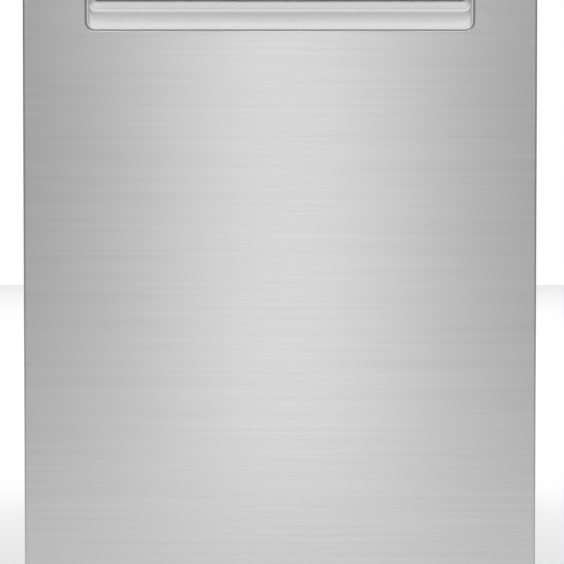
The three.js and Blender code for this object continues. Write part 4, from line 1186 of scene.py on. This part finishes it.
class DISHWASHER_OT_water_system(bpy.types.Operator):
    """Builds the sump, filters, pumps, inlet valve, feed duct and float"""

    bl_idname = "dishwasher.water_system"
    bl_label = "Water system"

    def execute(self, context):
        eased("sump", "sump_bowl", "dark", "cabinet", 1 * MM)
        spokes = []
        for angle in np.radians(np.arange(0, 360, 24)):
            if abs(math.sin(angle)) > 0.25:
                way = np.array([math.cos(angle), math.sin(angle), 0])
                foot, head = way * 0.09 + (0, SPRAY_Y, 0.0895), way * 0.111 + (0, SPRAY_Y, 0.15)
                spokes.append(tube([foot, (foot + head) / 2, head], 1.6 * MM, 6, (0, 0, 1)))
        piece("sump_ribs", spokes, "dark", "cabinet")
        eased("circulation_pump", "wash_pump", "dark", "cabinet", 1.2 * MM)
        bands = banded(*WASH_PUMP, (-0.225, -0.208, -0.191, -0.174))
        corners = (-0.212, SPRAY_Y - 16 * MM, 0.146), (-0.184, SPRAY_Y + 16 * MM, 0.158)
        piece("wash_pump_bands", bands, "zinc", "cabinet")
        piece("wash_pump_terminal", [block(*corners, "z", 2 * MM, 0.8 * MM)], "white", "cabinet")
        eased("drain_pump", "drain_pump_body", "black", "cabinet", 0.9 * MM)
        piece("drain_pump_bands", banded(*DRAIN_PUMP, (0.128, 0.146)), "black", "cabinet")
        eased("inlet_valve", "inlet_valve_body", "white", "cabinet", 0.6 * MM)
        collar = [(8.2, 62.7), (12.6, 62.7), (13.2, 63.4), (13.2, 66), (12.6, 66.8), (13.2, 67.6), (13.2, 70.4)]
        collar = in_mm(collar + [(12.4, 71), (8.2, 71)])
        piece("inlet_brass", [hoop(collar, INLET_LINE, "z", 40)], "brass", "cabinet")
        eased("junction_box", "wiring_box", "zinc", "cabinet", 0.6 * MM)
        lid = [screw((x, -0.23, z), "y", -1, 3 * MM) for x in (0.204, 0.25) for z in (0.064, 0.099)]
        piece("wiring_box_screws", lid, "zinc", "cabinet")
        eased("fine_filter", "fine_filter_plate", "mesh", "cabinet", 0.4 * MM)
        piece("coarse_filter_cup", coarse_cup(), "grey", "coarse_filter", ("coarse_filter",))
        eased("spray_feed_tube", "feed_duct", "grey", "cabinet", 1.6 * MM)
        skirt = [(15, 0), (18.6, 2.6), (19, 3.4), (19, 10.4), (18.4, 11.6)]
        crown = [(14.8, 15.4), (10, 17), (4, 17.9), (1, 18)]
        dome = turned(in_mm(skirt + crown, limits("float")[0][2]), FLOAT_LINE, "z", 48)
        piece("float_dome", [dome], "white", "float", ("float",))
        return {"FINISHED"}


def spray_arm(name, root, tip, hub, nozzles):
    """A spray arm: a blade whose half width falls from root to tip and closes at the tips.

    Its section is a flattened ellipse, a round hub stands on its middle, and small domed nozzles stand on top.
    """
    low, high = limits(name)
    reach, thick, base = high[0], high[2] - low[2] - 3 * MM, low[2] + 1 * MM
    share = np.clip(np.sin(np.linspace(-math.pi / 2, math.pi / 2, 49)), -0.9995, 0.9995)
    width = (root + (tip - root) * np.abs(share)) * (1 - np.abs(share) ** 14) ** 0.5
    angle = np.linspace(0, 2 * math.pi, 28, endpoint=False)
    flat = np.sign(np.sin(angle)) * np.abs(np.sin(angle)) ** 0.7
    closing = (1 - np.abs(share) ** 22) ** 0.4
    loops = np.empty((len(share), len(angle), 3))
    loops[..., 0] = (share * reach)[:, None]
    loops[..., 1] = SPRAY_Y + width[:, None] * np.cos(angle)
    loops[..., 2] = base + thick / 2 + closing[:, None] * flat * thick / 2
    profile = [(hub * 0.8, low[2]), (hub, low[2] + 1.5 * MM), (hub, high[2] - 1.5 * MM)]
    profile += [(hub * 0.94, high[2] - 0.5 * MM), (hub * 0.6, high[2]), (hub * 0.3, high[2] - 0.4 * MM)]
    parts = [loft(loops), turned(profile, (0, SPRAY_Y, 0), "z", 48)]
    dome = in_mm([(4.2, -1), (4, 0.2), (3, 1.1), (1.3, 1.1), (1.1, -0.2)], base + thick)
    for place in nozzles:
        stagger = 4 * MM * math.sin(90 * place)  # 3.2 to 3.6 mm off the middle line
        parts += [turned(dome, (s * place * reach, SPRAY_Y + stagger, 0), "z", 16) for _, s in SIDES]
    return parts


class DISHWASHER_OT_spray_arms(bpy.types.Operator):
    """Shapes the three spray arms"""

    bl_idname = "dishwasher.spray_arms"
    bl_label = "Spray arms"

    def execute(self, context):
        arms = (
            ("lower_spray_arm", 24, 15, 20, (0.22, 0.36, 0.5, 0.64, 0.78, 0.92)),
            ("upper_spray_arm", 24, 15, 18, (0.22, 0.36, 0.5, 0.64, 0.78, 0.92)),
            ("top_spray_arm", 22, 14, 16, (0.3, 0.52, 0.74, 0.9)),
        )
        for name, root, tip, hub, nozzles in arms:
            parts = spray_arm(name, root * MM, tip * MM, hub * MM, nozzles)
            piece(name + "_blade", parts, "grey", name, (name,))
        return {"FINISHED"}


# ------------------------------------------------------------------ racks


RACK_HALF = float(limits("lower_rack")[1][0]) - 2 * MM  # to a rim wire's centre line
LONG_WIRES = np.linspace(-0.235, 0.235, 17)  # where the wires along a rack lie
TINE_HEIGHT = {"upper": 55 * MM, "lower": 85 * MM}
WHEELS_Y = (-0.07, 0.19)  # the front and the rear axle
AXLE = float(limits("wheel_front_left")[0][2] + limits("wheel_front_left")[1][2]) / 2


def long_wires(profile, xs, radius):
    """Wires along the rack: one bent line of (y, z) at each x."""
    line = bent([(0, y, z) for y, z in profile], 9 * MM)
    return [tube(line + [x, 0, 0], radius, 6, (1, 0, 0)) for x in xs]


def cross_wires(top, floor_of, ys, radius):
    """Wires across the rack: a U whose floor height depends on where it lies."""
    parts = []
    for y in ys:
        floor = floor_of(y)
        corners = [(-RACK_HALF, y, top), (-RACK_HALF, y, floor), (RACK_HALF, y, floor), (RACK_HALF, y, top)]
        parts.append(tube(bent(corners, 9 * MM), radius, 6, (0, 1, 0)))
    return parts


def rim_wires(near, far, heights, radius):
    """Closed wires round the rack."""
    parts = []
    for z in heights:
        corners = [(-RACK_HALF, near, z), (RACK_HALF, near, z), (RACK_HALF, far, z), (-RACK_HALF, far, z)]
        parts.append(tube(bent(corners, 16 * MM, 7, around=True), radius, 8, (0, 0, 1), around=True))
    return parts


def tines(x, ys, floor, height, radius, lean=0.0):
    """A row of upright wires on a rod, each with a domed tip; lean moves their tips sideways."""
    rod_path = [(x, ys[0] - 8 * MM, floor), (x, (ys[0] + ys[-1]) / 2, floor), (x, ys[-1] + 8 * MM, floor)]
    parts = [tube(rod_path, radius, 6, (0, 0, 1))]
    share = np.array([0, 0.5, 1 - radius / height, 1 - 0.3 * radius / height, 1])
    size = radius * np.array([1, 1, 1, 0.72, 0.15])
    for y in ys:
        path = np.stack([x + lean * share, np.full(5, y), floor + height * share], axis=-1)
        parts.append(tube(path, size, 6, (0, 1, 0)))
    return parts


def front_grip(y, z, half):
    """A moulded grip clipped over the rim wire: a bar with a scooped front and domed ends."""
    return block((-half, y - 7 * MM, z - 11 * MM), (half, y + 5 * MM, z + 6 * MM), "x", 4.5 * MM, 3 * MM, 5, 8)


class DISHWASHER_OT_upper_rack(bpy.types.Operator):
    """Bends the upper rack's wires and fits its rails, feed duct and cup shelf"""

    bl_idname = "dishwasher.upper_rack"
    bl_label = "Upper rack"

    def execute(self, context):
        detail = context.scene.dishwasher_detail
        wire, rim_wire = detail.wire, detail.rim_wire
        low, high = limits("upper_rack")
        near, far, floor, rim = low[1] + 2 * MM, high[1] - 2 * MM, low[2] + 2 * MM, high[2] - 2 * MM
        rail_z = sum(limits("outer_rail_left"))[2] / 2
        wires = long_wires([(near, rim), (near, floor), (far, floor), (far, rim)], LONG_WIRES, wire)
        wires += cross_wires(rim, lambda y: floor, np.linspace(near + 28 * MM, far - 28 * MM, 15), wire)
        wires += rim_wires(near, far, (rim, rail_z), rim_wire)
        wires += rim_wires(near, far, ((rim + rail_z) / 2,), wire)
        rows = np.linspace(-0.14, 0.19, 14)
        for x, lean in ((-0.06, -6 * MM), (0.06, 6 * MM)):
            wires += tines(x, rows, floor + wire, TINE_HEIGHT["upper"] - wire, wire, lean)
        piece("upper_rack_wires", wires, "nylon", "upper_rack", ("upper_rack",))
        rails = []
        for _, s in SIDES:
            left, right = across(s, RACK_HALF - 2 * MM, 0.2744)
            corners = (left, near, rail_z - 6.8 * MM), (right, 0.225, rail_z + 6.8 * MM)
            rails.append(block(*corners, "y", 2 * MM, 1 * MM))
            left, right = across(s, RACK_HALF - 3 * MM, RACK_HALF - 1 * MM)
            for y in (near + 0.03, 0.0, 0.19):
                corners = (left, y - 12 * MM, rail_z - 10 * MM), (right, y + 12 * MM, rail_z + 10 * MM)
                rails.append(block(*corners, "x", 3 * MM, 0.8 * MM))
        piece("upper_rack_rails", rails, "grey", "upper_rack")
        piece("upper_rack_grip", [front_grip(near, rim, 0.07)], "grey", "upper_rack")
        eased("upper_arm_feed", "upper_feed_duct", "grey", "upper_rack", 1.8 * MM)
        low, high = limits("cup_shelf")
        z = (low[2] + high[2]) / 2
        shelf = []
        for x in (low[0] + 2 * MM, low[0] + 42 * MM, high[0] - 2 * MM):
            shelf.append(tube([(x, low[1], z), (x, 0, z), (x, high[1], z)], wire, 6, (0, 0, 1)))
        for y in np.linspace(low[1] + 2 * MM, high[1] - 2 * MM, 18):
            line = [(x, y, z) for x in (low[0] + 1 * MM, (low[0] + high[0]) / 2, high[0] - 0.5 * MM)]
            shelf.append(tube(line, wire * 0.85, 6, (0, 0, 1)))
        piece("cup_shelf_wires", shelf, "nylon", "cup_shelf", ("cup_shelf",))
        return {"FINISHED"}


class DISHWASHER_OT_lower_rack(bpy.types.Operator):
    """Bends the lower rack's wires and fits its tines, wheels and silverware basket"""

    bl_idname = "dishwasher.lower_rack"
    bl_label = "Lower rack"

    def execute(self, context):
        detail = context.scene.dishwasher_detail
        wire, rim_wire = detail.wire, detail.rim_wire
        low, high = limits("lower_rack")
        near, far, rim = low[1] + 2 * MM, high[1] - 2 * MM, high[2] - 2 * MM
        floor = limits("fold_down_tines")[0][2] - 2.4 * MM
        ramp_y, ramp_z = -0.16, 0.255
        profile = [(near, rim), (near, ramp_z), (ramp_y, floor), (far, floor), (far, rim)]
        wires = long_wires(profile, LONG_WIRES, wire)
        ys = np.concatenate([[-0.19], np.linspace(-0.14, far - 26 * MM, 13)])
        wires += cross_wires(rim, lambda y: float(np.interp(y, [near, ramp_y], [ramp_z, floor])), ys, wire)
        wires += rim_wires(near, far, (rim, 0.29), rim_wire)
        wires += rim_wires(near, far, (0.318,), wire)
        rows = np.linspace(-0.055, 0.2, 14)
        wires += tines(-0.16, rows, floor + wire, TINE_HEIGHT["lower"] - wire, wire)
        wires += tines(0.02, rows, floor + wire, TINE_HEIGHT["lower"] - wire, wire)
        piece("lower_rack_wires", wires, "nylon", "lower_rack", ("lower_rack",))
        carriers = []
        for _, s in SIDES:
            for y in WHEELS_Y:
                left, right = across(s, 0.222, 0.229)
                corners = (left, y - 7 * MM, AXLE - 5 * MM), (right, y + 7 * MM, floor + 6 * MM)
                carriers.append(block(*corners, "x", 3 * MM, 1 * MM))
                stub = rod(3.4 * MM, *across(s, 0.228, 0.2402), 0.4 * MM, 0.4 * MM)
                carriers.append(turned(stub, (0, y, AXLE), "x", 20))
        piece("wheel_carriers", carriers, "grey", "lower_rack")
        piece("lower_rack_grip", [front_grip(near, rim, 0.07)], "grey", "lower_rack")
        rest, top = limits("fold_down_tines")
        rows = np.linspace(rest[1] + 12 * MM, top[1] - 12 * MM, 13)
        folding = tines(-0.06, rows, rest[2] + 3 * MM, top[2] - rest[2] - 3 * MM, wire)
        for y in (rest[1] + 3 * MM, top[1] - 3 * MM):
            corners = (-0.063, y - 3 * MM, rest[2]), (-0.057, y + 3 * MM, rest[2] + 6 * MM)
            folding.append(block(*corners, "y", 1.5 * MM, 0.6 * MM))
        piece("folding_tine_row", folding, "nylon", "fold_down_tines", ("fold_down_tines",))
        eased("silverware_basket", "cutlery_basket", "grey", "lower_rack", 0.6 * MM)
        left_half = [(4, -3.6), (4.4, -4), (6.6, -4), (7, -3.4), (7.4, -1.8), (12.6, -1.8), (13.2, -3.4), (13.8, -4)]
        left_half += [(16, -4), (17, -3)]
        tread = left_half + [(r, -x) for r, x in left_half[::-1]]
        for word, _ in SIDES:
            for end in ("front", "rear"):
                name = "wheel_" + end + "_" + word
                x, y, z = sum(limits(name)) / 2
                parts = [hoop([(r * MM, x + h * MM) for r, h in tread], (0, y, z), "x", 48)]
                lug = rod(1.6 * MM, x - 3 * MM, x + 3 * MM, 0.6 * MM, 0.2 * MM)
                for angle in np.radians(np.arange(0, 360, 60)):
                    at = (0, y + 10 * MM * math.cos(angle), z + 10 * MM * math.sin(angle))
                    parts.append(turned(lug, at, "x", 14))
                piece(name + "_tread", parts, "grey", name, (name,))
        return {"FINISHED"}


# ------------------------------------------------------------------ studio


FLOOR_REACH = 8.0  # half the side of the floor
TARGET = (0.0024, 0.4607)  # the point of the door's face that the camera looks at
PITCH = math.radians(3.1)  # how far it looks down
AROUND = (("left_softbox", (-3.2, 1.2, 1.8)), ("right_softbox", (3.2, 1.2, 1.8)), ("rear_softbox", (0, 4, 1.6)))


def softbox(name, place, aim, width, height, power):
    """A rectangular area light that looks at a point."""
    light = bpy.data.lights.new(name, "AREA")
    light.shape = "RECTANGLE"
    light.size, light.size_y, light.energy = width, height, power
    lamp = bpy.data.objects.new(name, light)
    bpy.context.scene.collection.objects.link(lamp)
    lamp.location = place
    way = mathutils.Vector(aim) - mathutils.Vector(place)
    lamp.rotation_euler = way.to_track_quat("-Z", "Y").to_euler()
    lamp.visible_camera = False
    return lamp


class DISHWASHER_OT_studio(bpy.types.Operator):
    """Sets up the pale floor, the soft lights, the room and the camera"""

    bl_idname = "dishwasher.studio"
    bl_label = "Studio"

    def execute(self, context):
        scene = context.scene
        stage = scene.dishwasher_stage
        lines = np.linspace(-FLOOR_REACH, FLOOR_REACH, 9)
        x, y = np.meshgrid(lines, lines)
        sheet = facing(grid(np.stack([x, y, np.zeros_like(x)], axis=-1)), (0, 0, 1))
        piece("studio_floor", [sheet], "paper", None, smooth=False)
        scene.world = bpy.data.worlds.new("studio_room")
        scene.world.use_nodes = True
        tree = scene.world.node_tree
        tree.nodes.clear()
        seen = node(tree, "LightPath", "Is Camera Ray")
        room = node(tree, "Background", Color=(1, 1, 1, 1), Strength=stage.surround)
        sweep = node(tree, "Background", Color=(1, 1, 1, 1), Strength=1)
        node(tree, "OutputWorld", Surface=node(tree, "MixShader", Fac=seen, Shader=room, Shader_001=sweep))
        scene.view_settings.view_transform = "Standard"
        before = FACE - 1.8
        softbox("tall_softbox", (0.01, before, 1.0), (0.01, FACE, 1.0), 0.3, 2.0, stage.key)
        for name, place in AROUND:
            softbox(name, place, (0, 0.1, 0.4), 1.8, 1.8, stage.key * 1.2)
        softbox("overhead_softbox", (0.0, FACE - 1.6, 2.5), (0.0, FACE, 0.8), 1.6, 0.5, stage.top)
        softbox("floor_softbox", (0, 5.0, 2.6), (0, 5.0, 0), 7.0, 8.4, stage.floor_light)
        camera = bpy.data.cameras.new("studio_camera")
        camera.lens, camera.sensor_width = 216, 36
        holder = bpy.data.objects.new("studio_camera", camera)
        scene.collection.objects.link(holder)
        x, z = TARGET
        holder.location = (x, FACE - stage.distance * math.cos(PITCH), z + stage.distance * math.sin(PITCH))
        holder.rotation_euler = (math.pi / 2 - PITCH, 0, 0)
        scene.camera = holder
        return {"FINISHED"}


# ------------------------------------------------------------------ add-on


STEPS = (
    DISHWASHER_OT_door_panel,
    DISHWASHER_OT_handle,
    DISHWASHER_OT_console,
    DISHWASHER_OT_liner,
    DISHWASHER_OT_tub,
    DISHWASHER_OT_blanket,
    DISHWASHER_OT_chassis,
    DISHWASHER_OT_water_system,
    DISHWASHER_OT_spray_arms,
    DISHWASHER_OT_upper_rack,
    DISHWASHER_OT_lower_rack,
    DISHWASHER_OT_studio,
)


class DISHWASHER_OT_finishes(bpy.types.Operator):
    """Mixes every finish from the colours in the panel"""

    bl_idname = "dishwasher.finishes"
    bl_label = "Finishes"

    def execute(self, context):
        stock(context.scene)
        return {"FINISHED"}


class DISHWASHER_PT_panel(bpy.types.Panel):
    """Lists the dishwasher's settings and pieces"""

    bl_label = "Dishwasher"
    bl_idname = "DISHWASHER_PT_panel"
    bl_space_type = "VIEW_3D"
    bl_region_type = "UI"
    bl_category = "Dishwasher"

    def draw(self, context):
        scene = context.scene
        for settings in (scene.dishwasher_finish, scene.dishwasher_detail, scene.dishwasher_stage):
            box = self.layout.box()
            for name in settings.__annotations__:
                box.prop(settings, name)
        self.layout.operator(DISHWASHER_OT_finishes.bl_idname)
        for step in STEPS:
            self.layout.operator(step.bl_idname)


SETTINGS = (
    ("dishwasher_finish", DishwasherFinish),
    ("dishwasher_detail", DishwasherDetail),
    ("dishwasher_stage", DishwasherStage),
)
CLASSES = tuple(group for _, group in SETTINGS) + (DISHWASHER_OT_finishes,) + STEPS + (DISHWASHER_PT_panel,)


def register():
    for entry in CLASSES:
        bpy.utils.register_class(entry)
    for name, group in SETTINGS:
        setattr(bpy.types.Scene, name, bpy.props.PointerProperty(type=group))


def unregister():
    for name, _ in SETTINGS:
        delattr(bpy.types.Scene, name)
    for entry in reversed(CLASSES):
        bpy.utils.unregister_class(entry)


def main():
    """Registers the add-on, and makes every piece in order."""
    register()
    bpy.ops.dishwasher.finishes()
    for step in STEPS:
        getattr(bpy.ops.dishwasher, step.bl_idname.split(".")[1])()


if __name__ == "__main__":
    main()
